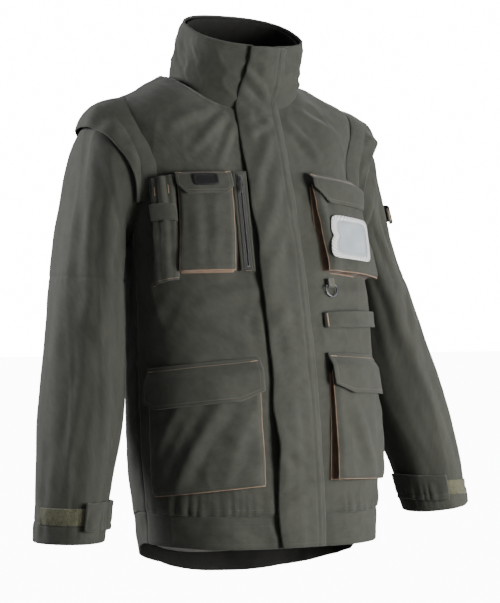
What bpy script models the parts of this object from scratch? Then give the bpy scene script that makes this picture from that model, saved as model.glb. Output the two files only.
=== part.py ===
"""A padded work parka with zip-off sleeves, a covered front zip and seven outside pockets.

Metres, +Z up. The front faces -Y and the wearer's right is -X. The origin is between the wearer's
shoulders, where the garment is held. Cloth is modelled as open lofted surfaces with Solidify.
"""

import math

import bmesh
import bpy
from mathutils import Vector

# ---------------------------------------------------------------- driving dimensions
SHELL = 0.003  # padded outer cloth
LINING = 0.0015
LINING_DEPTH = 0.009  # lining below the outer cloth: the room that the wadding takes
CLOTH = 0.002  # pocket and flap cloth
GUSSET = 0.001  # thin tan cloth of the pocket sides
SEAM_GAP = 0.0005  # between pieces that are sewn edge to edge
SEAM_ANGLE = 0.15  # the same gap, in degrees round the body
FOLD_GAP = 0.0020  # lets the storm flap's edge swing past the sewn strip

# The body from hem to neck, one row a level:
# height at the front, side and back, half width, depth of the side seam, depth of the back
BODY_LEVELS = (
    (-0.724, -0.722, -0.789, 0.193, -0.085, 0.062),
    (-0.580, -0.580, -0.600, 0.203, -0.075, 0.086),
    (-0.400, -0.400, -0.400, 0.199, -0.065, 0.098),
    (-0.295, -0.295, -0.290, 0.196, -0.050, 0.106),
    (-0.211, -0.205, -0.195, 0.193, -0.028, 0.112),
    (-0.145, -0.120, -0.110, 0.198, -0.008, 0.110),
    (-0.095, -0.042, -0.045, 0.210, 0.002, 0.102),
    (-0.060, -0.012, 0.000, 0.160, 0.004, 0.092),
    (-0.040, 0.008, 0.027, 0.104, 0.000, 0.080),
)
HEM_SEAM = 0.044  # share of the way from hem to neck
# how far the back hem's edge hangs below the body's own outline: angle, drop
TAIL_DROPS = (
    (90, 0.012),
    (97, 0.027),
    (110, 0.027),
    (130, 0.020),
    (150, 0.009),
    (180, 0),
    (210, -0.008),
    (240, 0),
    (270, 0),
)
SQUARENESS = 0.8  # below 1 makes the body's section boxier than an ellipse
# The front edge is one arc in the plane X = 0, so that the zip's slider can follow it.
ARC_RADIUS = 2.140
ARC_CENTRE = (1.9087, -0.8399)  # y, z
THROAT = -0.052  # height of the arc's upper end, where the collar begins
ZIP_FOOT = -0.705

FRONT_EDGE = 0.0125  # half the gap between the front panels, which the zip fills
TAPE_INNER = 0.0022  # half the slot that the slider's post runs in

COLLAR_TOP = {"half_width": 0.0965, "half_depth": 0.072, "centre_y": -0.035, "height": 0.092, "dip": 0.032}

# Armhole: an ellipse seen from the side
ARMHOLE = {"y": 0.012, "z": -0.148, "half_y": 0.072, "half_z": 0.112}
# A sleeve from armhole to cuff: outer edge x, z, inner edge x, z, centre y, half depth
SLEEVE_RINGS = (
    (0.256, -0.070, 0.203, -0.266, 0.016, 0.078),
    (0.274, -0.150, 0.205, -0.272, 0.022, 0.082),
    (0.300, -0.260, 0.206, -0.287, 0.012, 0.082),
    (0.322, -0.345, 0.211, -0.345, -0.008, 0.082),
    (0.338, -0.430, 0.219, -0.430, -0.030, 0.080),
    (0.358, -0.523, 0.234, -0.523, -0.055, 0.080),
    (0.377, -0.620, 0.265, -0.620, -0.082, 0.068),
    (0.385, -0.700, 0.281, -0.700, -0.094, 0.060),
)
SIDES = {"right": -1, "left": 1}
CUFF_DROP = {"right": 1.014, "left": 0.986}  # the right arm hangs a little lower
CUFF_TILT = {"right": 0.0, "left": 0.016}  # how much higher the outer side of the cuff hangs
ELBOW_SEAM = 0.44  # shares of the sleeve's length
CUFF_SEAM = 0.955
TAB_ANGLES = {"right": (86, 178), "left": (104, 196)}
TAB_HEIGHT = {"right": (-0.650, -0.690), "left": (-0.630, -0.668)}
TAPE_ANGLES = {"right": (13, 96), "left": (52, 114)}

# Pockets: angles round the body at the top and bottom edge, heights of the top and bottom edge,
# drop of the outer end, and depth of the tan gusset at the top and bottom
POCKETS = {
    "phone": {
        "top": (-44.5, -14.5),
        "bottom": (-49.5, -19),
        "z": (-0.153, -0.3005),
        "drop": -0.002,
        "depth": (0.010, 0.018),
        "outer": 1.0,
    },
    "id": {
        "top": (18.5, 66),
        "bottom": (17.5, 66),
        "z": (-0.158, -0.298),
        "drop": 0.013,
        "depth": (0.010, 0.020),
        "outer": 1.3,
    },
    "lower_right": {
        "top": (-12.5, -79),
        "bottom": (-13.5, -79),
        "z": (-0.461, -0.628),
        "drop": 0.018,
        "depth": (0.010, 0.018),
        "outer": 0.5,
    },
    "lower_left": {
        "top": (16, 78),
        "bottom": (12.5, 78),
        "z": (-0.453, -0.622),
        "drop": 0.007,
        "depth": (0.010, 0.019),
        "outer": 0.5,
    },
}
FLAPS = {
    "phone": {"angles": (-45.5, -14), "z": -0.144, "height": 0.037, "chamfer": 0.016, "drop": -0.002},
    "id": {"angles": (17.5, 67), "z": -0.141, "height": 0.048, "chamfer": 0.024, "drop": 0.013},
    "lower_right": {"angles": (-11.5, -80), "z": -0.433, "height": 0.064, "chamfer": 0.013, "drop": 0.018},
    "lower_left": {"angles": (15, 79), "z": -0.427, "height": 0.062, "chamfer": 0.013, "drop": 0.007},
}
FLAP_ROOT = 0.005  # the flap's top edge above the body

STORM_FLAP = {
    "hinge_x": 0.037,
    "fold_x": 0.0205,
    "free_x": -0.037,
    "sewn_x": 0.042,
    "lift": 0.0095,
    "top": 0.058,
    "foot": -0.722,
}
STORM_AXIS = {"y": -0.2408, "z": -0.724, "slope": 0.165}  # the straight line that the flap turns on

CHEST_ZIP = {"angles": (-10.4, -12.6), "z": (-0.141, -0.299), "tape": 0.0062, "slot": 0.0016}

OLIVE = (0.105, 0.110, 0.085, 1)
DARK_OLIVE = (0.060, 0.064, 0.050, 1)
TAN = (0.330, 0.235, 0.160, 1)
METAL = (0.160, 0.155, 0.150, 1)
CHARCOAL = (0.025, 0.023, 0.027, 1)
CLEAR = (0.560, 0.610, 0.640, 1)
LOOP_GREEN = (0.170, 0.180, 0.115, 1)


# ---------------------------------------------------------------- small tools
def clear_scene():
    for thing in list(bpy.data.objects):
        bpy.data.objects.remove(thing, do_unlink=True)


def new_collection(name):
    collection = bpy.data.collections.new(name)
    bpy.context.scene.collection.children.link(collection)
    return collection


def lerp(a, b, t):
    return a + (b - a) * t


def smooth_step(t):
    t = min(max(t, 0.0), 1.0)
    return t * t * (3 - 2 * t)


def spline(rows, t):
    """The point at share t along a Catmull-Rom curve through rows of numbers."""
    last = len(rows) - 1
    position = min(max(t, 0.0), 1.0) * last
    i = min(int(position), last - 1)
    f = position - i
    start, end = rows[i], rows[i + 1]
    before = rows[i - 1] if i else [2 * a - b for a, b in zip(start, end)]
    after = rows[i + 2] if i + 2 <= last else [2 * b - a for a, b in zip(start, end)]
    return [
        0.5 * (2 * b + (c - a) * f + (2 * a - 5 * b + 4 * c - d) * f * f + (3 * b - 3 * c + d - a) * f**3)
        for a, b, c, d in zip(before, start, end, after)
    ]


def material_for(name, colour):
    material = bpy.data.materials.new(name)
    material.use_nodes = True
    shader = material.node_tree.nodes["Principled BSDF"]
    shader.inputs["Base Color"].default_value = colour
    shader.inputs["Metallic"].default_value = 0.9 if colour == METAL else 0.0
    shader.inputs["Roughness"].default_value = 0.35 if colour in (METAL, CLEAR) else 0.85
    return material


def add_node(name, mesh, colour):
    node = bpy.data.objects.new(name, mesh)
    mesh.materials.append(material_for(name, colour))
    PARTS.objects.link(node)
    return node


def sheet(name, point_at, columns, rows, thickness, colour, closed=False):
    """A cloth sheet: a grid of point_at(s, t), s and t from 0 to 1, thickened by Solidify."""
    mesh = bpy.data.meshes.new(name)
    grid = bmesh.new()
    around = columns if closed else columns + 1
    lines = range(rows + 1)
    points = [[grid.verts.new(point_at(i / columns, j / rows)) for i in range(around)] for j in lines]
    for j in range(rows):
        for i in range(columns):
            k = (i + 1) % around
            grid.faces.new((points[j][i], points[j][k], points[j + 1][k], points[j + 1][i]))
    grid.to_mesh(mesh)
    grid.free()
    mesh.shade_smooth()
    node = add_node(name, mesh, colour)
    solid = node.modifiers.new("thickness", "SOLIDIFY")
    solid.thickness = thickness
    solid.offset = 0
    return node


def box(name, centre, size, colour, bevel=0.0, tilt=0.0, turn=0.0):
    """A block, tilted about X and then turned about Z, with rounded edges."""
    mesh = bpy.data.meshes.new(name)
    cube = bmesh.new()
    bmesh.ops.create_cube(cube, size=1)
    bmesh.ops.scale(cube, vec=size, verts=cube.verts)
    cube.to_mesh(mesh)
    cube.free()
    node = add_node(name, mesh, colour)
    node.location = centre
    node.rotation_euler = (tilt, 0, turn)
    if bevel:
        rounding = node.modifiers.new("rounding", "BEVEL")
        rounding.width = bevel
        rounding.segments = 2
    return node


def bar(name, points, radius, colour, origin, closed=False):
    """A round wire through the points, which are given about the origin."""
    curve = bpy.data.curves.new(name, "CURVE")
    curve.dimensions = "3D"
    curve.bevel_depth = radius
    curve.bevel_resolution = 2
    curve.use_fill_caps = not closed
    line = curve.splines.new("POLY")
    line.points.add(len(points) - 1)
    line.use_cyclic_u = closed
    for target, point in zip(line.points, points):
        target.co = (*point, 1)
    curve.materials.append(material_for(name, colour))
    node = bpy.data.objects.new(name, curve)
    node.location = origin
    PARTS.objects.link(node)
    return node


def cut_with(node, cutter):
    modifier = node.modifiers.new("cut", "BOOLEAN")
    modifier.operation = "DIFFERENCE"
    modifier.solver = "EXACT"
    modifier.object = cutter


def join_with(node, other):
    """Adds another node's shape to this one and keeps the other as a guide only."""
    modifier = node.modifiers.new("join", "BOOLEAN")
    modifier.operation = "UNION"
    modifier.solver = "EXACT"
    modifier.object = other
    PARTS.objects.unlink(other)
    CUTTERS.objects.link(other)
    other.hide_render = True
    other.display_type = "WIRE"


def set_origin(node, origin):
    """Puts a moving piece's origin on its joint's axis without moving the piece."""
    shift = Vector(origin)
    for vertex in node.data.vertices:
        vertex.co = node.matrix_basis @ vertex.co - shift
    node.rotation_euler = (0, 0, 0)
    node.location = shift


# ---------------------------------------------------------------- the body's surface
def front_arc(z):
    return ARC_CENTRE[0] - math.sqrt(ARC_RADIUS**2 - (z - ARC_CENTRE[1]) ** 2)


def section_of(angle):
    """How far across and ahead a point of the squared section lies, each from -1 to 1."""
    across, ahead = math.sin(math.radians(angle)), math.cos(math.radians(angle))
    return math.copysign(abs(across) ** SQUARENESS, across), math.copysign(abs(ahead) ** SQUARENESS, ahead)


def body_at(angle, level):
    """A point of the body: angle in degrees from the front centre, positive to the wearer's left."""
    front, side, back, half_width, side_y, back_y = spline(BODY_LEVELS, level)
    across, ahead = section_of(angle)
    end = front if ahead > 0 else back
    reach = side_y - front_arc(front) if ahead > 0 else back_y - side_y
    return Vector((half_width * across, side_y - reach * ahead, lerp(side, end, ahead * ahead)))


def level_of(angle, z):
    low, high = 0.0, 1.0
    for _ in range(30):
        middle = (low + high) / 2
        if body_at(angle, middle).z < z:
            low = middle
        else:
            high = middle
    return (low + high) / 2


def body_normal(angle, level):
    across = body_at(angle + 1, level) - body_at(angle - 1, level)
    up = body_at(angle, min(level + 0.01, 1)) - body_at(angle, max(level - 0.01, 0))
    return across.cross(up).normalized()


def on_body(angle, z, lift):
    level = level_of(angle, z)
    return body_at(angle, level) + body_normal(angle, level) * lift


def lifted_body(angle, level, lift):
    return body_at(angle, level) + body_normal(angle, level) * lift


def side_of_body(y, z):
    """The body's half width where a line along X at y, z leaves it."""
    low, high = 20.0, 160.0
    for _ in range(24):
        middle = (low + high) / 2
        if body_at(middle, level_of(middle, z)).y < y:
            low = middle
        else:
            high = middle
    return body_at(low, level_of(low, z)).x


def edge_angle(level):
    """Angle at which the front panel's edge stands FRONT_EDGE from the centre plane."""
    share = FRONT_EDGE / spline(BODY_LEVELS, level)[3]
    return math.degrees(math.asin(share ** (1 / SQUARENESS)))


def front_profile(z):
    """Depth of the front edge: the arc of the body, then the collar, which leans forward."""
    collar_front = COLLAR_TOP["centre_y"] - COLLAR_TOP["half_depth"]
    collar_rise = COLLAR_TOP["height"] - COLLAR_TOP["dip"]
    foot = BODY_LEVELS[-1][0]
    on_collar = lerp(front_arc(foot), collar_front, (z - foot) / (collar_rise - foot))
    return lerp(front_arc(z), on_collar, smooth_step((z + 0.045) / 0.05))


# ---------------------------------------------------------------- body, lining and hem
def armhole_cutter(side):
    """A lying elliptical cylinder that opens the armhole in the shell and the lining."""
    mesh = bpy.data.meshes.new(f"armhole_cutter_{side}")
    shape = bmesh.new()
    bmesh.ops.create_cone(shape, cap_ends=True, segments=24, radius1=1, radius2=1, depth=0.23)
    turned = [(v.co.z, v.co.x * ARMHOLE["half_y"], v.co.y * ARMHOLE["half_z"]) for v in shape.verts]
    for vertex, place in zip(shape.verts, turned):
        vertex.co = place
    shape.to_mesh(mesh)
    shape.free()
    cutter = bpy.data.objects.new(mesh.name, mesh)
    cutter.location = (SIDES[side] * 0.185, ARMHOLE["y"], ARMHOLE["z"])
    cutter.hide_render = True
    cutter.display_type = "WIRE"
    CUTTERS.objects.link(cutter)
    return cutter


def make_body(cutters):
    top = 0.996
    foot = HEM_SEAM + 0.001

    def front(side):
        def point(s, t):
            level = lerp(foot, top, t)
            angle = lerp(90 - SEAM_ANGLE, edge_angle(level), s)
            return body_at(SIDES[side] * angle, level)

        return point

    def back(s, t):
        return body_at(lerp(90 + SEAM_ANGLE, 270 - SEAM_ANGLE, s), lerp(foot, top, t))

    def inside(s, t):
        return lifted_body(lerp(8, 352, s), lerp(0.02, 0.985, t), -LINING_DEPTH)

    for side, cutter in cutters.items():
        cut_with(sheet(f"front_{side}_panel", front(side), 10, 12, SHELL, OLIVE), cutter)
    panel = sheet("back_panel", back, 14, 12, SHELL, OLIVE)
    lining = sheet("quilted_lining", inside, 20, 9, LINING, DARK_OLIVE)
    for cutter in cutters.values():
        cut_with(panel, cutter)
        cut_with(lining, cutter)


def tail_drop(angle):
    for (first, high), (last, low) in zip(TAIL_DROPS, TAIL_DROPS[1:]):
        if angle <= last:
            return lerp(high, low, (angle - first) / (last - first))
    return 0.0


def make_hem():
    def band(first, last):
        def point(s, t):
            level = lerp(0, HEM_SEAM - 0.001, t)
            return body_at(lerp(first(level), last(level), s), level)

        return point

    def front_of(sign):
        return band(lambda level: sign * (90 - SEAM_ANGLE), lambda level: sign * edge_angle(level))

    sheet("hem_band_front_right", front_of(-1), 8, 1, SHELL, OLIVE)
    sheet("hem_band_front_left", front_of(1), 8, 1, SHELL, OLIVE)
    rear = band(lambda level: 90 + SEAM_ANGLE, lambda level: 270 - SEAM_ANGLE)

    def tail(s, t):
        return rear(s, t) - Vector((0, 0, tail_drop(lerp(90, 270, s)) * (1 - t)))

    sheet("hem_band_back", tail, 18, 1, SHELL, OLIVE)


# ---------------------------------------------------------------- collar
def collar_at(angle, share, lift=0.0):
    ring = body_at(angle, 1)
    across, ahead = section_of(angle)
    top = Vector(
        (
            COLLAR_TOP["half_width"] * across,
            COLLAR_TOP["centre_y"] - COLLAR_TOP["half_depth"] * ahead,
            COLLAR_TOP["height"] - COLLAR_TOP["dip"] * ahead,
        )
    )
    outward = Vector((across, -ahead, 0)).normalized()
    return ring.lerp(top, share) + outward * lift


def make_collar():
    start = 7.5

    def outer(s, t):
        return collar_at(lerp(start, 360 - start, s), lerp(0.03, 1, t))

    def inner(s, t):
        return collar_at(lerp(start + 3, 357 - start, s), lerp(0.04, 0.97, t), -0.006)

    sheet("collar", outer, 20, 3, SHELL, OLIVE)
    sheet("collar_lining", inner, 16, 2, LINING, DARK_OLIVE)


# ---------------------------------------------------------------- front zip and storm flap
def make_front_zip():
    def tape(sign):
        def point(s, t):
            z = lerp(ZIP_FOOT, 0.055, t)
            return Vector((sign * lerp(TAPE_INNER, FRONT_EDGE - SEAM_GAP, s), front_profile(z), z))

        return point

    sheet("main_zip_tape_right", tape(-1), 1, 18, 0.0014, DARK_OLIVE)
    sheet("main_zip_tape_left", tape(1), 1, 18, 0.0014, DARK_OLIVE)
    foot_z = ZIP_FOOT - 0.0075
    foot_tilt = math.atan2(front_arc(foot_z + 0.01) - front_arc(foot_z), 0.01)
    foot = (0, front_arc(foot_z), foot_z)
    box("main_zip_retainer_box", foot, (0.009, 0.004, 0.013), METAL, 0.0008, -foot_tilt)
    make_slider("main_zip", Vector((0, front_arc(THROAT), THROAT)), 0.0, Vector((0, *ARC_CENTRE)))


def make_slider(name, place, turn, origin=None):
    """Two plates joined by a post that runs in the slot between the tapes, and a hinged pull."""
    slope = math.atan2(front_arc(place.z + 0.01) - front_arc(place.z - 0.01), 0.02)
    level_out = Vector((math.sin(turn), -math.cos(turn), 0))
    out = level_out * math.cos(slope) + Vector((0, 0, math.sin(slope)))
    down = Vector((0, 0, -1)) * math.cos(slope) + level_out * math.sin(slope)
    scale = 0.8 if name == "chest_zip" else 1.0
    plate = (0.0095 * scale, 0.0013, 0.013)
    front = box(f"{name}_slider", place + out * 0.0023, plate, METAL, 0.0004, -slope, turn)
    rear = box(f"{name}_slider_rear_plate", place - out * 0.0023, plate, METAL, 0.0, -slope, turn)
    post = box(f"{name}_slider_post", place, (0.0026 * scale, 0.0046, 0.005), METAL, 0.0, -slope, turn)
    above = place + out * 0.0035
    bridge = box(f"{name}_slider_bridge", above, (0.0018, 0.0018, 0.006), METAL, 0.0, -slope, turn)
    for piece in (rear, post, bridge):
        join_with(front, piece)
    if origin is not None:
        set_origin(front, origin)
    pull_centre = place + out * 0.0054 + down * 0.014
    pull = box(f"{name}_pull", pull_centre, (0.0056 * scale, 0.0010, 0.024), METAL, 0.0003, -slope, turn)
    set_origin(pull, place + out * 0.0054 + down * 0.001)


def flap_bow(x, z):
    """How far the storm flap falls back from its centre line at x, as it hugs the body and the collar."""
    return x * x * lerp(1.8, 5.0, smooth_step((z + 0.10) / 0.10))


def storm_point(x, z, lift):
    return Vector((x, front_profile(z) - lift + flap_bow(x, z), z))


def make_storm_flap():
    foot, top, lift = STORM_FLAP["foot"], STORM_FLAP["top"], STORM_FLAP["lift"]

    def strip(first, last, low, high, height):
        return lambda s, t: storm_point(lerp(first, last, s), lerp(low, high, t), height)

    swinging = strip(STORM_FLAP["free_x"], STORM_FLAP["fold_x"] - FOLD_GAP, foot, top, lift)
    flap = sheet("storm_flap", swinging, 3, 16, SHELL, OLIVE)
    hinge_y = STORM_AXIS["y"] + STORM_AXIS["slope"] * (0 - STORM_AXIS["z"])
    hinge = (STORM_FLAP["hinge_x"], hinge_y, 0)
    set_origin(flap, hinge)
    base = strip(STORM_FLAP["fold_x"], STORM_FLAP["sewn_x"], foot, top, lift)
    sheet("storm_flap_stitched_edge", base, 1, 16, SHELL, OLIVE)
    hook = strip(-0.030, -0.014, -0.66, -0.10, 0.0064)
    set_origin(sheet("storm_flap_hook_tape", hook, 1, 10, 0.001, CHARCOAL), hinge)
    loop = strip(-0.030, -0.014, -0.66, -0.10, 0.0040)
    sheet("storm_flap_loop_tape", loop, 1, 10, 0.001, LOOP_GREEN)


# ---------------------------------------------------------------- pockets
def pocket_at(pocket, s, t, lift):
    """A point over a pocket: s across from its first edge, t down from its top, lift off the body."""
    first = lerp(pocket["top"][0], pocket["bottom"][0], t)
    last = lerp(pocket["top"][1], pocket["bottom"][1], t)
    z = lerp(pocket["z"][0], pocket["z"][1], t) - pocket["drop"] * s
    return on_body(lerp(first, last, s), z, lift)


def pocket_depth(pocket, s, t):
    """How far the front stands off the body. It changes towards the pocket's outer side."""
    return lerp(pocket["depth"][0], pocket["depth"][1], t) * lerp(1, pocket["outer"], s * s)


def make_pocket(name):
    pocket = POCKETS[name]

    def front(s, t):
        return pocket_at(pocket, s, t, pocket_depth(pocket, s, t))

    def gusset(s, t):
        """A band that runs down one side, along the bottom and up the other side."""
        leg = 0.34
        if s < leg:
            place = (0.0, s / leg)
        elif s > 1 - leg:
            place = (1.0, (1 - s) / leg)
        else:
            place = ((s - leg) / (1 - 2 * leg), 1.0)
        rim = pocket_depth(pocket, *place) - CLOTH / 2 - 0.0004
        return pocket_at(pocket, *place, lerp(SHELL / 2 + 0.0006, rim, t))

    sheet(f"{name}_pocket_front", front, 8, 4, CLOTH, OLIVE)
    sheet(f"{name}_pocket_gusset", gusset, 24, 1, GUSSET, TAN)


def flap_at(name, s, t):
    """A pocket flap hangs from its seam over the pocket's mouth, and its lower corners are cut off."""
    flap = FLAPS[name]
    pocket = POCKETS[name]
    corner = min(s, 1 - s) / 0.16
    length = flap["height"] - flap["chamfer"] * max(0.0, 1 - corner)
    drop = length * t
    z = flap["z"] - flap["drop"] * s - drop
    over = pocket_depth(pocket, s, 0) + CLOTH + 0.0026 + 0.06 * drop
    free_run = flap["z"] - pocket["z"][0] - 0.003
    lift = lerp(FLAP_ROOT, over, smooth_step(drop / free_run))
    return on_body(lerp(*flap["angles"], s), z, lift)


def flap_hinge(name):
    """The straight line a flap turns on: along its top edge, at the height of its outermost point."""
    ends = flap_at(name, 0, 0), flap_at(name, 1, 0)
    along = (ends[1] - ends[0]).normalized()
    if along.x < 0:
        along = -along
    outward = Vector((along.y, -along.x, 0)).normalized()
    edge = [flap_at(name, i / 20, 0) for i in range(21)]
    return max(edge, key=lambda p: p.dot(outward)), along


def make_flap(name):
    flap = sheet(f"{name}_pocket_flap", lambda s, t: flap_at(name, s, t**1.4), 8, 4, CLOTH, OLIVE)
    set_origin(flap, flap_hinge(name)[0])


def make_label():
    """A blank moulded rubber badge on the phone pocket's flap, which it moves with."""

    def point(s, t):
        z = lerp(-0.152, -0.169, t)
        share = (z - FLAPS["phone"]["z"]) / -FLAPS["phone"]["height"]
        across = lerp(0.30, 0.72, s)
        face = flap_at("phone", across, share)
        angle = lerp(*FLAPS["phone"]["angles"], across)
        return face + body_normal(angle, level_of(angle, z)) * (CLOTH / 2 + 0.0022)

    set_origin(sheet("rubber_label", point, 3, 1, 0.0014, CHARCOAL), flap_hinge("phone")[0])


def patch(first, last, z, lift, bow=0.0, lean=0.0):
    """A sheet that follows the body between two angles and two heights, bowed out in the middle.
    Its first side leans by an angle towards its foot."""

    def point(s, t):
        angle = lerp(first + lean * t, last, s)
        return on_body(angle, lerp(z[0], z[1], t), lift + bow * math.sin(math.pi * s) ** 0.5)

    return point


def make_pen_pocket():
    sheet("pen_pocket", patch(-66, -52.5, (-0.157, -0.318), 0.0045, 0.008, lean=-4), 6, 4, CLOTH, OLIVE)
    sheet("pen_pocket_strap", patch(-67, -52.5, (-0.198, -0.221), 0.0095, 0.0095), 6, 1, CLOTH, OLIVE)


def make_id_window():
    """A clear pouch on the badge pocket. Its long side has a half-round notch for the thumb."""
    pocket = POCKETS["id"]

    def point(s, t):
        notch = 0.05 * math.exp(-(((t - 0.5) / 0.11) ** 2)) * (1 - s) ** 2
        across = lerp(0.13 + notch, 0.82, s)
        down = lerp(0.37, 0.87, t)
        return pocket_at(pocket, across, down, pocket_depth(pocket, across, down) + 0.0032)

    sheet("id_window", point, 4, 12, 0.001, CLEAR)


def make_side_loop():
    sheet("side_tool_loop", patch(15.5, 68, (-0.364, -0.387), 0.0045, 0.009), 10, 1, CLOTH, OLIVE)


def d_ring_frame():
    """The ring's bar centre and its directions: along the bar, out of the body, and down."""
    angle = 21
    place = on_body(angle, -0.321, 0.0065)
    along = (on_body(angle + 2, -0.321, 0.0065) - on_body(angle - 2, -0.321, 0.0065)).normalized()
    out = body_normal(angle, level_of(angle, -0.321))
    return place, along, along.cross(out).normalized()


def make_d_ring():
    centre, along, down = d_ring_frame()
    down = down if down.z < 0 else -down
    half, wire = 0.0115, 0.0014
    bow = [
        along * (half * math.cos(math.radians(a))) + down * (0.004 + 0.014 * math.sin(math.radians(a)))
        for a in range(0, 181, 20)
    ]
    ends = [along * (0.002 - half), along * (half - 0.002)]
    bar("d_ring", [*ends, *bow], wire, METAL, centre, closed=True)
    out = along.cross(down).normalized()
    out = out if out.y < 0 else -out

    def fold(s, t):
        """Webbing that goes down the front of the bar, round it and up behind."""
        turn = math.radians(lerp(-90, 90, min(max((s - 0.35) / 0.30, 0), 1)))
        radius = wire + 0.0012
        rise = max(0.35 - s, 0) + max(s - 0.65, 0)
        bend = turn + math.pi / 2
        place = centre + out * (radius * math.cos(bend)) + down * (radius * math.sin(bend))
        return place - down * (rise * 0.030) + along * lerp(-0.006, 0.006, t)

    sheet("d_ring_webbing", fold, 10, 1, 0.001, DARK_OLIVE)


def make_chest_zip():
    """An open zip with its slider at the top, set in a welt between the storm flap and the phone pocket."""
    upper = on_body(CHEST_ZIP["angles"][0], CHEST_ZIP["z"][0], 0.0062)
    lower = on_body(CHEST_ZIP["angles"][1], CHEST_ZIP["z"][1], 0.0062)
    turn = math.radians(-12)
    across = Vector((math.cos(turn), math.sin(turn), 0))

    def frame(inner, outer, inset, reach):
        """A flat ring round the zip: its rim at the sides and its reach past the ends."""

        def point(s, t):
            side, f = int(s * 4) % 4, s * 4 - int(s * 4)
            corners = ((-1, 0), (1, 0), (1, 1), (-1, 1))
            a, b = corners[side], corners[(side + 1) % 4]
            end = inset - reach * t
            place = upper.lerp(lower, lerp(end, 1 - end, lerp(a[1], b[1], f)))
            return place + across * (lerp(a[0], b[0], f) * lerp(inner, outer, t))

        return point

    width = CHEST_ZIP["tape"]
    tape = frame(CHEST_ZIP["slot"], width, 0.050, 0.020)
    sheet("chest_zip_tape", tape, 4, 1, 0.0012, DARK_OLIVE, closed=True)
    welt = frame(width + 0.0004, width + 0.0036, 0.027, 0.022)
    sheet("chest_zip_welt", welt, 4, 1, CLOTH * 0.8, OLIVE, closed=True)
    make_slider("chest_zip", upper.lerp(lower, 0.085), turn)


# ---------------------------------------------------------------- sleeves
def armhole_loop(turn):
    """The armhole's edge at an angle from its top, forward first, as seen on the left side."""
    y = ARMHOLE["y"] - ARMHOLE["half_y"] * math.sin(turn)
    z = ARMHOLE["z"] + ARMHOLE["half_z"] * math.cos(turn)
    return (side_of_body(y, min(z, -0.04)) + 0.0045, y, z)


def sleeve_column(side, turn):
    """One lengthwise line of the sleeve, from the armhole to the cuff."""
    column = [armhole_loop(turn)]
    for outer_x, outer_z, inner_x, inner_z, centre_y, half_depth in SLEEVE_RINGS:
        share = (1 - math.cos(turn)) / 2
        x, z = lerp(outer_x, inner_x, share), lerp(outer_z, inner_z, share)
        if outer_z < -0.3:
            reach = (outer_z + 0.3) / -0.4
            z = z * lerp(1, CUFF_DROP[side], reach) + CUFF_TILT[side] * (1 - share) * reach
        column.append((x, centre_y - half_depth * math.sin(turn), z))
    return column


COLUMNS = {}


def sleeve_at(side, degrees, share):
    key = (side, round(degrees % 360, 3))
    if key not in COLUMNS:
        COLUMNS[key] = sleeve_column(side, math.radians(degrees))
    x, y, z = spline(COLUMNS[key], share)
    return Vector((SIDES[side] * x, y, z))


def sleeve_normal(side, degrees, share):
    around = sleeve_at(side, degrees + 3, share) - sleeve_at(side, degrees - 3, share)
    along = sleeve_at(side, degrees, min(share + 0.01, 1)) - sleeve_at(side, degrees, max(share - 0.01, 0))
    return around.cross(along).normalized() * SIDES[side]


def on_sleeve(side, degrees, share, lift):
    return sleeve_at(side, degrees, share) + sleeve_normal(side, degrees, share) * lift


def share_at(side, degrees, z):
    low, high = 0.3, 1.0
    for _ in range(24):
        middle = (low + high) / 2
        if sleeve_at(side, degrees, middle).z > z:
            low = middle
        else:
            high = middle
    return low


def make_sleeve(side):
    def tube(first, last, lift):
        return lambda s, t: on_sleeve(side, 360 * s, lerp(first, last, t), lift)

    seam = CUFF_SEAM
    gap = 0.0005
    sheet(f"upper_sleeve_{side}", tube(0.004, ELBOW_SEAM - gap, 0), 16, 7, SHELL, OLIVE, closed=True)
    sheet(f"lower_sleeve_{side}", tube(ELBOW_SEAM + gap, seam - 0.001, 0), 16, 6, SHELL, OLIVE, closed=True)
    sheet(f"sleeve_{side}_lining", tube(0.20, 0.93, -0.0085), 12, 7, LINING, DARK_OLIVE, closed=True)
    sheet(f"cuff_{side}", tube(seam, 1, 0), 16, 1, SHELL, OLIVE, closed=True)

    low, high = TAB_HEIGHT[side][1], TAB_HEIGHT[side][0]

    def cuff_patch(first, last, bottom, top, lift):
        def point(s, t):
            degrees = lerp(first, last, s)
            return on_sleeve(side, degrees, share_at(side, degrees, lerp(bottom, top, t)), lift)

        return point

    first, last = TAB_ANGLES[side]
    tab = sheet(f"cuff_tab_{side}", cuff_patch(first, last, low, high, 0.0072), 8, 2, CLOTH, OLIVE)
    set_origin(tab, cuff_tab_hinge(side)[0])
    tape = cuff_patch(*TAPE_ANGLES[side], low + 0.008, high - 0.008, 0.0042)
    sheet(f"cuff_loop_tape_{side}", tape, 8, 1, 0.0012, LOOP_GREEN)


def cuff_tab_hinge(side):
    """The sewn end of the cuff tab: a point on it, and its direction."""
    degrees = TAB_ANGLES[side][1]
    low, high = (
        on_sleeve(side, degrees, share_at(side, degrees, z), 0.0072) for z in reversed(TAB_HEIGHT[side])
    )
    return (low + high) / 2, (high - low).normalized()


def make_armhole_zips(side):
    """The zip that joins the sleeve to the body, one half on each."""

    def ring(near, far, lift):
        def point(s, t):
            turn = math.radians(360 * s)
            x, y, z = armhole_loop(turn)
            inward = lerp(near, far, t)
            y = ARMHOLE["y"] + (y - ARMHOLE["y"]) * (1 - inward / ARMHOLE["half_y"])
            z = ARMHOLE["z"] + (z - ARMHOLE["z"]) * (1 - inward / ARMHOLE["half_z"])
            return Vector((SIDES[side] * (x + lift), y, z))

        return point

    sheet(f"armhole_zip_body_{side}", ring(0.0030, 0.0110, -0.0050), 20, 1, 0.0012, CHARCOAL, closed=True)
    sheet(f"armhole_zip_sleeve_{side}", ring(0.0030, 0.0110, -0.0025), 20, 1, 0.0012, CHARCOAL, closed=True)


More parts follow.
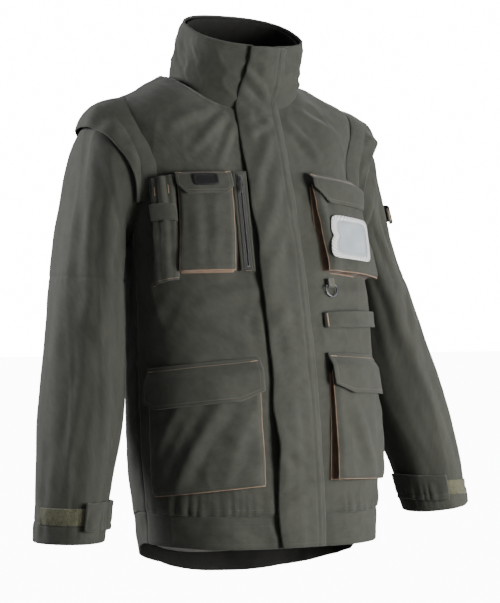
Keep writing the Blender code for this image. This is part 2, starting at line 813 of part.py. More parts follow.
def make_shoulder_cap(side):
    """A cloth shield over the shoulder that hides the sleeve's zip."""

    def point(s, t):
        degrees = lerp(-108, 108, s)
        reach = lerp(0.045, 0.150, math.cos(math.radians(degrees) * 0.80) ** 2)
        return on_sleeve(side, degrees, lerp(0.012, reach, t), lerp(0.0050, 0.0064, t))

    sheet(f"shoulder_cap_{side}", point, 12, 3, 0.0024, OLIVE)


def make_sleeve_pen_loop():
    def point(s, t):
        lift = 0.0035 + 0.013 * math.sin(math.pi * s)
        return on_sleeve("left", lerp(26, 40, s), lerp(0.285, 0.315, t), lift)

    sheet("sleeve_pen_loop", point, 6, 1, CLOTH * 0.8, OLIVE)


# ---------------------------------------------------------------- assembly
def main():
    cutters = {side: armhole_cutter(side) for side in SIDES}
    make_body(cutters)
    make_hem()
    make_collar()
    make_front_zip()
    make_storm_flap()
    make_chest_zip()
    for name in POCKETS:
        make_pocket(name)
        make_flap(name)
    make_label()
    make_pen_pocket()
    make_id_window()
    make_side_loop()
    make_d_ring()
    for side in SIDES:
        make_sleeve(side)
        make_armhole_zips(side)
        make_shoulder_cap(side)
    make_sleeve_pen_loop()


clear_scene()
PARTS = new_collection("work_parka")
CUTTERS = new_collection("cutters")
main()
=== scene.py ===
"""The looks of the work parka: cloth, folds, stitching, trims, materials and the studio."""

import math

import bmesh
import bpy
import numpy as np
from mathutils import Matrix, Vector


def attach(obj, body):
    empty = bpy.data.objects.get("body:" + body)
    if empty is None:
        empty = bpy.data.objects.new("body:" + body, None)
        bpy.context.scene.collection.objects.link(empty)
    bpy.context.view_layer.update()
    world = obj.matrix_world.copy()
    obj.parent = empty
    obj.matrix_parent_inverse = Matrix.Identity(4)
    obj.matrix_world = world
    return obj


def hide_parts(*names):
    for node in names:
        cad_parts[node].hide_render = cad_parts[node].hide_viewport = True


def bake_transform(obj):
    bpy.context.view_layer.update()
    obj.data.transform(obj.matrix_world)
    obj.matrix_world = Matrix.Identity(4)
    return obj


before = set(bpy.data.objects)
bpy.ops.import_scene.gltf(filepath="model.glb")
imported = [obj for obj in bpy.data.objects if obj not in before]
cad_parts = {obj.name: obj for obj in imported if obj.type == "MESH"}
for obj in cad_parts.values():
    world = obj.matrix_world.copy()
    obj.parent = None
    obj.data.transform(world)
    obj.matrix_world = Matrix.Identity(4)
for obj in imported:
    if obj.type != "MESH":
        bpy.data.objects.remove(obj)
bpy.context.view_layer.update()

# ---------------------------------------------------------------- sizes shared with the frame, in metres
SHELL = 0.003
LINING = 0.0015
LINING_DEPTH = 0.009
CLOTH = 0.002
SEAM_ANGLE = 0.15

# front z, side z, back z, half width, side y, back y, from the hem to the neck
BODY_LEVELS = (
    (-0.724, -0.722, -0.789, 0.193, -0.085, 0.062),
    (-0.580, -0.580, -0.600, 0.203, -0.075, 0.086),
    (-0.400, -0.400, -0.400, 0.199, -0.065, 0.098),
    (-0.295, -0.295, -0.290, 0.196, -0.050, 0.106),
    (-0.211, -0.205, -0.195, 0.193, -0.028, 0.112),
    (-0.145, -0.120, -0.110, 0.198, -0.008, 0.110),
    (-0.095, -0.042, -0.045, 0.210, 0.002, 0.102),
    (-0.060, -0.012, 0.000, 0.160, 0.004, 0.092),
    (-0.040, 0.008, 0.027, 0.104, 0.000, 0.080),
)
HEM_SEAM = 0.044
# angles round the back, and how much lower the hem hangs there
TAIL_DROPS = (
    (90, 97, 110, 130, 150, 180, 210, 240, 270),
    (0.012, 0.027, 0.027, 0.020, 0.009, 0, -0.008, 0, 0),
)
SQUARENESS = 0.8
ARC_RADIUS = 2.140
ARC_CENTRE = (1.9087, -0.8399)
THROAT = -0.052
ZIP_FOOT = -0.705
FRONT_EDGE = 0.0125
TAPE_INNER = 0.0022
COLLAR_TOP = {"half_width": 0.0965, "half_depth": 0.072, "centre_y": -0.035, "height": 0.092, "dip": 0.032}
ARMHOLE = {"y": 0.012, "z": -0.148, "half_y": 0.072, "half_z": 0.112}

# outer x, outer z, inner x, inner z, centre y, half depth, from the shoulder to the cuff
SLEEVE_RINGS = (
    (0.256, -0.070, 0.203, -0.266, 0.016, 0.078),
    (0.274, -0.150, 0.205, -0.272, 0.022, 0.082),
    (0.300, -0.260, 0.206, -0.287, 0.012, 0.082),
    (0.322, -0.345, 0.211, -0.345, -0.008, 0.082),
    (0.338, -0.430, 0.219, -0.430, -0.030, 0.080),
    (0.358, -0.523, 0.234, -0.523, -0.055, 0.080),
    (0.377, -0.620, 0.265, -0.620, -0.082, 0.068),
    (0.385, -0.700, 0.281, -0.700, -0.094, 0.060),
)
SIDES = {"right": -1, "left": 1}
CUFF_DROP = {"right": 1.014, "left": 0.986}
CUFF_TILT = {"right": 0.0, "left": 0.016}
ELBOW_SEAM = 0.44
CUFF_SEAM = 0.955
TAB_ANGLES = {"right": (86, 178), "left": (104, 196)}
TAB_HEIGHT = {"right": (-0.650, -0.690), "left": (-0.630, -0.668)}
TAPE_ANGLES = {"right": (13, 96), "left": (52, 114)}

POCKETS = {
    "phone": {
        "top": (-44.5, -14.5),
        "bottom": (-49.5, -19),
        "z": (-0.153, -0.3005),
        "drop": -0.002,
        "depth": (0.010, 0.018),
        "outer": 1.0,
    },
    "id": {
        "top": (18.5, 66),
        "bottom": (17.5, 66),
        "z": (-0.158, -0.298),
        "drop": 0.013,
        "depth": (0.010, 0.020),
        "outer": 1.3,
    },
    "lower_right": {
        "top": (-12.5, -79),
        "bottom": (-13.5, -79),
        "z": (-0.461, -0.628),
        "drop": 0.018,
        "depth": (0.010, 0.018),
        "outer": 0.5,
    },
    "lower_left": {
        "top": (16, 78),
        "bottom": (12.5, 78),
        "z": (-0.453, -0.622),
        "drop": 0.007,
        "depth": (0.010, 0.019),
        "outer": 0.5,
    },
}
FLAPS = {
    "phone": {"angles": (-45.5, -14), "z": -0.144, "height": 0.037, "chamfer": 0.016, "drop": -0.002},
    "id": {"angles": (17.5, 67), "z": -0.141, "height": 0.048, "chamfer": 0.024, "drop": 0.013},
    "lower_right": {"angles": (-11.5, -80), "z": -0.433, "height": 0.064, "chamfer": 0.013, "drop": 0.018},
    "lower_left": {"angles": (15, 79), "z": -0.427, "height": 0.062, "chamfer": 0.013, "drop": 0.007},
}
FLAP_ROOT = 0.005
STORM_FLAP = {"free_x": -0.037, "sewn_x": 0.042, "lift": 0.0095, "top": 0.058, "foot": -0.722}
CHEST_ZIP = {"angles": (-10.4, -12.6), "z": (-0.141, -0.299), "tape": 0.0062, "slot": 0.0016, "turn": -12}

STORM_SEAMS = (0.0275, 0.0345)  # x of the two rows of stitches that hold the storm flap
LEAST_CUT = 0.0102  # the narrowest tape is cut this wide, with its turned-in edge
BLOCK_FACES = np.array([(4, 5, 6, 7), (0, 1, 5, 4), (1, 2, 6, 5), (2, 3, 7, 6), (3, 0, 4, 7), (3, 2, 1, 0)])


# ---------------------------------------------------------------- small mathematics
def lerp(a, b, t):
    return a + (b - a) * t


def smooth_step(t):
    t = np.clip(t, 0, 1)
    return t * t * (3 - 2 * t)


def hump(distance, width):
    return np.exp(-((distance / width) ** 2))


def stack(x, y, z):
    return np.stack(np.broadcast_arrays(x, y, z), axis=-1).astype(float)


def unit(vectors):
    return vectors / np.maximum(np.linalg.norm(vectors, axis=-1, keepdims=True), 1e-12)


def dot(a, b):
    return (a * b).sum(axis=-1)


def spline_weights(count, t):
    """How much each of count rows gives to the points at shares t of a Catmull-Rom curve."""
    position = np.clip(t, 0, 1) * (count - 1)
    i = np.minimum(position.astype(int), count - 2)
    f = position - i
    parts = (2 * f**2 - f - f**3, 2 - 5 * f**2 + 3 * f**3, f + 4 * f**2 - 3 * f**3, f**3 - f**2)
    padded = np.zeros((*position.shape, count + 2))
    for k, part in enumerate(parts):
        np.put_along_axis(padded, (i + k)[..., None], 0.5 * part[..., None], -1)
    rows = padded[..., 1:-1].copy()
    rows[..., 0] += 2 * padded[..., 0]
    rows[..., 1] -= padded[..., 0]
    rows[..., -1] += 2 * padded[..., -1]
    rows[..., -2] -= padded[..., -1]
    return rows


def spline(rows, t):
    return spline_weights(len(rows), np.asarray(t, float)) @ np.asarray(rows, float)


def waves(points, wavelength, seed, count=12):
    """Soft random ripples of about unit height over points, which are in metres."""
    chance = np.random.default_rng(seed)
    total = np.zeros(points.shape[:-1])
    for _ in range(count):
        heading = chance.normal(size=3)
        heading *= 2 * math.pi / (wavelength * chance.uniform(0.7, 1.5) * np.linalg.norm(heading))
        total += np.sin(points @ heading + chance.uniform(0, 2 * math.pi))
    return total / math.sqrt(count / 2)


def creases(points, wavelength, seed):
    """Ripples with sharp crests and wide valleys, from 0 to 1."""
    return np.clip(1 - np.abs(waves(points, wavelength, seed)), 0, 1) ** 2


def fold_height(x, y, folds):
    """Height of listed folds, each from (x0, y0) to (x1, y1) with a width and a height."""
    total = np.zeros(np.broadcast(x, y).shape)
    for x0, y0, x1, y1, width, height in folds:
        dx, dy = x1 - x0, y1 - y0
        t = np.clip(((x - x0) * dx + (y - y0) * dy) / (dx * dx + dy * dy), 0, 1)
        across = np.hypot(x - x0 - t * dx, y - y0 - t * dy)
        swell = 0.4 + 0.6 * np.sin(math.pi * t)
        total += height * swell * (hump(across, width) - 0.5 * hump(across - 2.1 * width, width))
    return total


# ---------------------------------------------------------------- the body's surface
def front_arc(z):
    return ARC_CENTRE[0] - np.sqrt(ARC_RADIUS**2 - (z - ARC_CENTRE[1]) ** 2)


def section_of(angle):
    across, ahead = np.sin(np.radians(angle)), np.cos(np.radians(angle))
    return np.sign(across) * np.abs(across) ** SQUARENESS, np.sign(ahead) * np.abs(ahead) ** SQUARENESS


def body_at(angle, level):
    """Points of the body: angle in degrees from the front centre, positive to the wearer's left."""
    angle, level = np.broadcast_arrays(np.asarray(angle, float), np.asarray(level, float))
    front, side, back, half_width, side_y, back_y = np.moveaxis(spline(BODY_LEVELS, level), -1, 0)
    across, ahead = section_of(angle)
    end = np.where(ahead > 0, front, back)
    reach = np.where(ahead > 0, side_y - front_arc(front), back_y - side_y)
    return stack(half_width * across, side_y - reach * ahead, lerp(side, end, ahead * ahead))


def bisect(low, high, below, steps=24):
    """The values between low and high where below(value) turns false."""
    for _ in range(steps):
        middle = (low + high) / 2
        under = below(middle)
        low = np.where(under, middle, low)
        high = np.where(under, high, middle)
    return (low + high) / 2


def level_of(angle, z):
    angle, z = np.broadcast_arrays(np.asarray(angle, float), np.asarray(z, float))
    return bisect(np.zeros(z.shape), np.ones(z.shape), lambda level: body_at(angle, level)[..., 2] < z)


def body_normal(angle, level):
    across = body_at(angle + 1, level) - body_at(angle - 1, level)
    up = body_at(angle, np.minimum(level + 0.01, 1)) - body_at(angle, np.maximum(level - 0.01, 0))
    return unit(np.cross(across, up))


def on_body(angle, z, lift=0.0):
    """Points lift metres off the body, at an angle and a height."""
    level = level_of(angle, z)
    return body_at(angle, level) + body_normal(angle, level) * np.asarray(lift)[..., None]


def side_of_body(y, z):
    """The body's half width where lines along X at y, z leave it."""
    start = np.full(np.shape(z), 20.0), np.full(np.shape(z), 160.0)
    angle = bisect(*start, lambda a: body_at(a, level_of(a, z))[..., 1] < y)
    return body_at(angle, level_of(angle, z))[..., 0]


def edge_angle(level):
    """Angle at which the front panel's edge stands FRONT_EDGE from the centre plane."""
    share = FRONT_EDGE / spline(BODY_LEVELS, level)[..., 3]
    return np.degrees(np.arcsin(share ** (1 / SQUARENESS)))


def front_profile(z):
    """Depth of the front edge: the arc of the body, then the collar, which leans forward."""
    collar_front = COLLAR_TOP["centre_y"] - COLLAR_TOP["half_depth"]
    collar_rise = COLLAR_TOP["height"] - COLLAR_TOP["dip"]
    foot = BODY_LEVELS[-1][0]
    on_collar = lerp(front_arc(foot), collar_front, (z - foot) / (collar_rise - foot))
    return lerp(front_arc(z), on_collar, smooth_step((z + 0.045) / 0.05))


def collar_at(angle, share, lift=0.0):
    ring = body_at(angle, 1.0)
    across, ahead = section_of(angle)
    top = stack(
        COLLAR_TOP["half_width"] * across,
        COLLAR_TOP["centre_y"] - COLLAR_TOP["half_depth"] * ahead,
        COLLAR_TOP["height"] - COLLAR_TOP["dip"] * ahead,
    )
    outward = unit(stack(across, -ahead, np.zeros_like(across)))
    return lerp(ring, top, np.asarray(share)[..., None]) + outward * np.asarray(lift)[..., None]


def storm_point(x, z, lift):
    """Points over the front zip, lift metres in front of the front edge."""
    bow = x * x * lerp(1.8, 5.0, smooth_step((z + 0.10) / 0.10))
    return stack(x, front_profile(z) - lift + bow, z)


def pocket_at(name, s, t, lift):
    """Points over a pocket: s across from its first edge, t down from its top."""
    pocket = POCKETS[name]
    first = lerp(pocket["top"][0], pocket["bottom"][0], t)
    last = lerp(pocket["top"][1], pocket["bottom"][1], t)
    return on_body(lerp(first, last, s), lerp(*pocket["z"], t) - pocket["drop"] * s, lift)


def pocket_depth(name, s, t):
    return lerp(*POCKETS[name]["depth"], t) * lerp(1, POCKETS[name]["outer"], s * s)


def flap_at(name, s, t, lift=0.0):
    """Points of a pocket flap: s across, t down from its seam. Its lower corners are cut off."""
    flap = FLAPS[name]
    corner = np.minimum(s, 1 - s) / 0.16
    drop = (flap["height"] - flap["chamfer"] * np.maximum(0, 1 - corner)) * t
    over = pocket_depth(name, s, 0) + CLOTH + 0.0026 + 0.06 * drop
    free_run = flap["z"] - POCKETS[name]["z"][0] - 0.003
    height = lerp(FLAP_ROOT, over, smooth_step(drop / free_run)) + lift
    return on_body(lerp(*flap["angles"], s), flap["z"] - flap["drop"] * s - drop, height)


# ---------------------------------------------------------------- the sleeves' surface
def armhole_oval(turn, grow=0.0):
    """Y and Z of the armhole's outline, grown outward by grow."""
    y = ARMHOLE["y"] - (ARMHOLE["half_y"] + grow) * np.sin(turn)
    z = ARMHOLE["z"] + (ARMHOLE["half_z"] + grow) * np.cos(turn)
    return y, z


def armhole_edge(turn):
    y, z = armhole_oval(turn)
    return side_of_body(y, np.minimum(z, -0.04)) + 0.0045


ARMHOLE_TURNS = np.linspace(0, 2 * math.pi, 121)
ARMHOLE_X = armhole_edge(ARMHOLE_TURNS)


def armhole_loop(turn):
    x = np.interp(np.mod(turn, 2 * math.pi), ARMHOLE_TURNS, ARMHOLE_X)
    return stack(x, *armhole_oval(turn))


def sleeve_at(side, degrees, share):
    """Points of a sleeve: degrees round it from its outer side, forward first, share down its length."""
    degrees, share = np.broadcast_arrays(np.asarray(degrees, float), np.asarray(share, float))
    turn = np.radians(degrees)
    across = (1 - np.cos(turn)) / 2
    rows = [armhole_loop(turn)]
    for outer_x, outer_z, inner_x, inner_z, centre_y, half_depth in SLEEVE_RINGS:
        z = lerp(outer_z, inner_z, across)
        if outer_z < -0.3:
            reach = (outer_z + 0.3) / -0.4
            z = z * lerp(1, CUFF_DROP[side], reach) + CUFF_TILT[side] * (1 - across) * reach
        rows.append(stack(lerp(outer_x, inner_x, across), centre_y - half_depth * np.sin(turn), z))
    place = (spline_weights(len(rows), share)[..., None] * np.stack(rows, axis=-2)).sum(axis=-2)
    return place * (SIDES[side], 1, 1)


def sleeve_normal(side, degrees, share):
    around = sleeve_at(side, degrees + 3, share) - sleeve_at(side, degrees - 3, share)
    low, high = np.maximum(share - 0.01, 0), np.minimum(share + 0.01, 1)
    along = sleeve_at(side, degrees, high) - sleeve_at(side, degrees, low)
    return unit(np.cross(around, along)) * SIDES[side]


def on_sleeve(side, degrees, share, lift=0.0):
    degrees, share = np.broadcast_arrays(np.asarray(degrees, float), np.asarray(share, float))
    return sleeve_at(side, degrees, share) + sleeve_normal(side, degrees, share) * np.asarray(lift)[..., None]


def share_at(side, degrees, z):
    degrees, z = np.broadcast_arrays(np.asarray(degrees, float), np.asarray(z, float))
    start = np.full(z.shape, 0.3), np.ones(z.shape)
    return bisect(*start, lambda share: sleeve_at(side, degrees, share)[..., 2] > z)


# ---------------------------------------------------------------- building meshes
def grid(columns, rows, closed=False):
    """Shares s across and t down of a grid of points. A closed grid doesn't repeat its first column."""
    s = np.linspace(0, 1, columns + 1)[: columns if closed else None]
    return np.meshgrid(s, np.linspace(0, 1, rows + 1))


def grid_faces(rows, columns, closed):
    """Quads of a grid of points, and each corner's column counted without wrapping round."""
    j, i = np.meshgrid(np.arange(rows - 1), np.arange(columns if closed else columns - 1), indexing="ij")
    corners = np.stack([(j, i), (j, i + 1), (j + 1, i + 1), (j + 1, i)], axis=0).reshape(4, 2, -1)
    row, column = corners[:, 0].T, corners[:, 1].T
    return row * columns + column % columns, row, column


def grid_normals(mid, closed):
    if closed:
        around = np.roll(mid, -1, axis=1) - np.roll(mid, 1, axis=1)
    else:
        around = np.gradient(mid, axis=1)
    return unit(np.cross(around, np.gradient(mid, axis=0)))


def lengths_along(mid, axis):
    """Distance from the first row or column to every point, in metres."""
    steps = np.linalg.norm(np.diff(mid, axis=axis), axis=-1)
    start = np.zeros_like(np.take(steps, [0], axis=axis))
    return np.concatenate([start, np.cumsum(steps, axis=axis)], axis=axis)


def even_steps(path, pitch):
    """Distance travelled at each point of a path, and the middles of equal steps of about pitch."""
    travelled = lengths_along(path[None], 1)[0]
    count = max(int(travelled[-1] / pitch), 1)
    return travelled, (np.arange(count) + 0.5) * travelled[-1] / count


def values_at(values, travelled, distance):
    """Values given at the distances travelled, read at other distances."""
    return np.stack([np.interp(distance, travelled, column) for column in values.T], axis=-1)


def radial(mid):
    """Away from the body's upright axis."""
    return mid * (1, 1, 0) - (0, 0.015, 0)


class Piece:
    """Points and faces of one object, gathered from cloth layers, stitches, tubes and blocks."""

    def __init__(self, name):
        self.name = name
        self.points, self.faces, self.uvs, self.edges, self.slots = [], [], [], [], []
        self.materials = []
        self.count = 0
        self.cut = None

    def add(self, points, faces, uv, edge, material):
        if material not in self.materials:
            self.materials.append(material)
        self.points.append(np.asarray(points, float).reshape(-1, 3))
        self.faces.append(np.asarray(faces) + self.count)
        self.uvs.append(np.asarray(uv, float))
        self.edges.append(np.broadcast_to(np.asarray(edge, float), (len(self.points[-1]),)))
        self.slots.append(np.full(len(faces), self.materials.index(material)))
        self.count += len(self.points[-1])

    def cloth(self, mid, thickness, material, inside=None, closed=False, outward=None, keep=None):
        """Two layers of cloth about the grid of points mid, with a rounded rim round every open edge.

        keep marks the points that stay. It returns the outer layer and its normals, as grids, and
        notes the width, length and area that the piece is cut to.
        """
        rows, columns = mid.shape[:2]
        normal = grid_normals(mid, closed)
        faces, row, column = grid_faces(rows, columns, closed)
        way = np.sign(dot(normal, radial(mid) if outward is None else outward).mean())
        normal *= way
        around, down = lengths_along(mid, 1), lengths_along(mid, 0)
        edge = np.minimum(down, down[-1:] - down)
        if not closed:
            edge = np.minimum(edge, np.minimum(around, around[:, -1:] - around))
        width = np.mean(around[:, -1]) * (columns / (columns - 1) if closed else 1)
        step = width / (columns if closed else columns - 1)
        uv = np.stack([column * step, down[row, column % columns]], axis=-1)
        if keep is not None:
            kept = keep.ravel()[faces].any(axis=1)
            faces, uv = faces[kept], uv[kept]
        if way < 0:
            faces, uv = faces[:, ::-1], uv[:, ::-1]
        outer = mid + normal * thickness / 2
        self.close_layers(mid, normal, faces, uv, edge, thickness, material, inside or material)
        corners = mid.reshape(-1, 3)[faces]
        areas = np.linalg.norm(np.cross(corners[:, 1] - corners[:, 0], corners[:, 3] - corners[:, 0]), axis=1)
        self.cut = (float(width), float(np.mean(down[-1])), float(areas.sum()))
        return outer, normal

    def close_layers(self, mid, normal, faces, uv, edge, thickness, material, inside):
        """Adds both layers of a cloth, and the strips that join them round every open edge."""
        used = np.unique(faces)
        number = np.full(mid[..., 0].size, -1)
        number[used] = np.arange(len(used))
        points, normals = mid.reshape(-1, 3)[used], normal.reshape(-1, 3)[used]
        edge, faces = edge.ravel()[used], number[faces]
        pairs = faces[:, [0, 1, 1, 2, 2, 3, 3, 0]].reshape(-1, 2)
        code = np.sort(pairs, axis=1) @ (len(used), 1)
        _, first, uses = np.unique(code, return_index=True, return_counts=True)
        rim = pairs[first[uses == 1]]
        tangent = unit(points[rim[:, 1]] - points[rim[:, 0]])
        off = np.cross(tangent, normals[rim[:, 0]])
        away = np.zeros_like(points)
        np.add.at(away, rim[:, 0], off)
        np.add.at(away, rim[:, 1], off)
        on_rim = np.unique(rim)
        rim_number = np.full(len(used), -1)
        rim_number[on_rim] = np.arange(len(on_rim))
        half = thickness / 2
        tips = points[on_rim] + unit(away[on_rim]) * half
        n = len(used)
        a, b = rim[:, 0], rim[:, 1]
        ra, rb = rim_number[a] + 2 * n, rim_number[b] + 2 * n
        outer_strip = np.stack([b, a, ra, rb], axis=1)
        inner_strip = np.stack([rb, ra, a + n, b + n], axis=1)
        vertex_uv = np.zeros((n, 2))
        vertex_uv[faces.ravel()] = uv.reshape(-1, 2)
        strip_uv = np.stack([vertex_uv[b], vertex_uv[a], vertex_uv[a], vertex_uv[b]], axis=1)
        everything = np.concatenate([points + normals * half, points - normals * half, tips])
        edges = np.concatenate([edge, edge, np.zeros(len(tips))])
        start = self.count
        outside = np.concatenate([faces, outer_strip, inner_strip])
        self.add(everything, outside, np.concatenate([uv, strip_uv, strip_uv]), edges, material)
        if inside not in self.materials:
            self.materials.append(inside)
        self.faces.append(faces[:, ::-1] + n + start)
        self.uvs.append(uv[:, ::-1])
        self.slots.append(np.full(len(faces), self.materials.index(inside)))

    def blocks(self, place, axes, size, levels, material):
        """A small tapering block at each place. levels are its foot and top: height and share of size."""
        ahead, aside, up = axes
        corners = [
            place + up * height + ahead * (fore * share * size[0] / 2) + aside * (out * share * size[1] / 2)
            for height, share in levels
            for fore, out in ((-1, -1), (1, -1), (1, 1), (-1, 1))
        ]
        faces = (BLOCK_FACES[None] + 8 * np.arange(len(place))[:, None, None]).reshape(-1, 4)
        self.add(np.stack(corners, axis=1), faces, np.zeros((len(faces), 4, 2)), 0.01, material)

    def stitches(
        self, path, normals, material="tan_thread", pitch=0.0040, length=0.0026, width=0.00055, rise=0.0003
    ):
        """Separate stitches along a path on the cloth."""
        travelled, centres = even_steps(path, pitch)
        place, up = values_at(path, travelled, centres), unit(values_at(normals, travelled, centres))
        fore = values_at(path, travelled, centres + length / 2)
        ahead = unit(fore - values_at(path, travelled, centres - length / 2))
        levels = ((-0.0004, 1.0), (rise, 0.62))
        self.blocks(place, (ahead, np.cross(up, ahead), up), (length, width), levels, material)

    def bartack(self, centre, along, up, size, material="tan_thread"):
        """A dense bar of thread across along, size = (length, width)."""
        path = centre + unit(along) * np.linspace(-0.5, 0.5, 12)[:, None] * size[0]
        normals = np.broadcast_to(unit(up), path.shape)
        self.stitches(path, normals, material, pitch=0.0008, length=0.00075, width=size[1], rise=0.0007)

    def tube(self, path, radius, material, closed=False, sides=10):
        """A round cord, wire or piping along a path."""
        path = np.asarray(path, float)
        if closed:
            tangent = unit(np.roll(path, -1, axis=0) - np.roll(path, 1, axis=0))
        else:
            tangent = unit(np.gradient(path, axis=0))
        side = unit(np.cross(tangent[0], (0.31, 0.17, 0.94)))
        frames = []
        for direction in tangent:
            side = unit(side - direction * dot(side, direction))
            frames.append(side)
        first = np.array(frames)
        second = np.cross(tangent, first)
        turn = 2 * math.pi * np.arange(sides) / sides
        around = first[:, None] * np.cos(turn)[:, None] + second[:, None] * np.sin(turn)[:, None]
        radii = np.full(len(path), float(radius))
        if not closed:
            radii[0] = radii[-1] = radius * 0.35
        rings = path[:, None] + around * radii[:, None, None]
        if closed:
            rings = np.concatenate([rings, rings[:1]])
        faces, row, column = grid_faces(len(rings), sides, True)
        travelled = lengths_along(rings[:, :1], 0)[:, 0]
        uv = np.stack([column * 2 * math.pi * radius / sides, travelled[row]], axis=-1)
        self.add(rings, faces, uv, 0.01, material)

    def block(self, centre, axes, size, bevel, material):
        """A block with rounded edges. axes are its three directions as rows."""
        shape = bmesh.new()
        bmesh.ops.create_cube(shape, size=1)
        bmesh.ops.scale(shape, vec=size, verts=shape.verts)
        rounding = {"segments": 3, "profile": 0.5, "affect": "EDGES", "clamp_overlap": True}
        bmesh.ops.bevel(shape, geom=shape.edges[:], offset=bevel, **rounding)
        bmesh.ops.triangulate(shape, faces=shape.faces[:])
        shape.verts.ensure_lookup_table()
        points = np.array([v.co for v in shape.verts])
        faces = np.array([[v.index for v in face.verts] for face in shape.faces])
        shape.free()
        places = np.asarray(centre, float) + points @ np.asarray(axes, float)
        quads = faces[:, [0, 1, 2, 2]]
        self.add(places, quads, points[quads][..., :2], 0.01, material)

    def build(self, body="root", nodes=(), slot=None, blend=None):
        """Makes the object and parents it to its body's empty; with blend it is baked in place and left
        unparented. blend = (body a, body b, start, end): only whether it is given is used.
        """
        faces = np.concatenate(self.faces)
        uvs = np.concatenate(self.uvs)
        mesh = bpy.data.meshes.new(self.name)
        triangle = faces[:, 2] == faces[:, 3]
        counts = np.where(triangle, 3, 4)
        used = np.ones(faces.shape, bool)
        used[triangle, 3] = False
        points = np.concatenate(self.points)
        mesh.vertices.add(len(points))
        mesh.vertices.foreach_set("co", points.ravel())
        mesh.loops.add(int(counts.sum()))
        mesh.loops.foreach_set("vertex_index", faces[used].astype(np.int32))
        mesh.polygons.add(len(faces))
        starts = np.concatenate([[0], np.cumsum(counts)[:-1]]).astype(np.int32)
        mesh.polygons.foreach_set("loop_start", starts)
        mesh.polygons.foreach_set("material_index", np.concatenate(self.slots).astype(np.int32))
        mesh.uv_layers.new(name="cloth").data.foreach_set("uv", uvs[used].ravel())
        edge = mesh.attributes.new("edge", "FLOAT", "POINT")
        edge.data.foreach_set("value", np.concatenate(self.edges).astype(np.float32))
        mesh.update(calc_edges=True)
        mesh.validate()
        mesh.shade_smooth()
        for name in self.materials:
            mesh.materials.append(MATERIALS[name])
        made = bpy.data.objects.new(self.name, mesh)
        bpy.context.scene.collection.objects.link(made)
        if nodes:
            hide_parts(*nodes)
        if blend:
            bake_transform(made)
        else:
            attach(made, body)
        return made

    def build_sheet(self, held, rests_on, **placing):
        """Makes the object with build; the cloth's flat size is clamped to LEAST_CUT but not kept."""
        made = self.build(**placing)
        width, length, area = self.cut
        width, length = max(width, LEAST_CUT), max(length, LEAST_CUT)
        return made


def sample(layer, s, t):
    """Points of a grid at fractional places s across and t down, both from 0 to 1."""
    rows, columns = layer.shape[:2]
    x = np.clip(s, 0, 1) * (columns - 1)
    y = np.clip(t, 0, 1) * (rows - 1)
    i, j = np.minimum(x.astype(int), columns - 2), np.minimum(y.astype(int), rows - 2)
    f, g = (x - i)[..., None], (y - j)[..., None]
    top = lerp(layer[j, i], layer[j, i + 1], f)
    bottom = lerp(layer[j + 1, i], layer[j + 1, i + 1], f)
    return lerp(top, bottom, g)


def shares_between(corners, count=60):
    """Fractional places along straight lines between (s, t) corners."""
    parts = [np.linspace(a, b, count, endpoint=False) for a, b in zip(corners, corners[1:])]
    return np.concatenate([*parts, [corners[-1]]]).T


def stitch_line(piece, layers, corners, material="olive_thread", **how):
    """Stitches along straight lines between (s, t) corners of a cloth."""
    outer, normal = layers
    s, t = shares_between(np.asarray(corners, float))
    piece.stitches(sample(outer, s, t), sample(normal, s, t), material, **how)


def tack(piece, layers, place, size, upright=False):
    """A bartack at (s, t) on a cloth, size = (length, width)."""
    outer, normal = layers
    s, t = np.array([place[0]]), np.array([place[1]])
    step = (0, 0.02) if upright else (0.02, 0)
    ahead = sample(outer, s + step[0], t + step[1]) - sample(outer, s - step[0], t - step[1])
    piece.bartack(sample(outer, s, t)[0], ahead[0], sample(normal, s, t)[0], size)


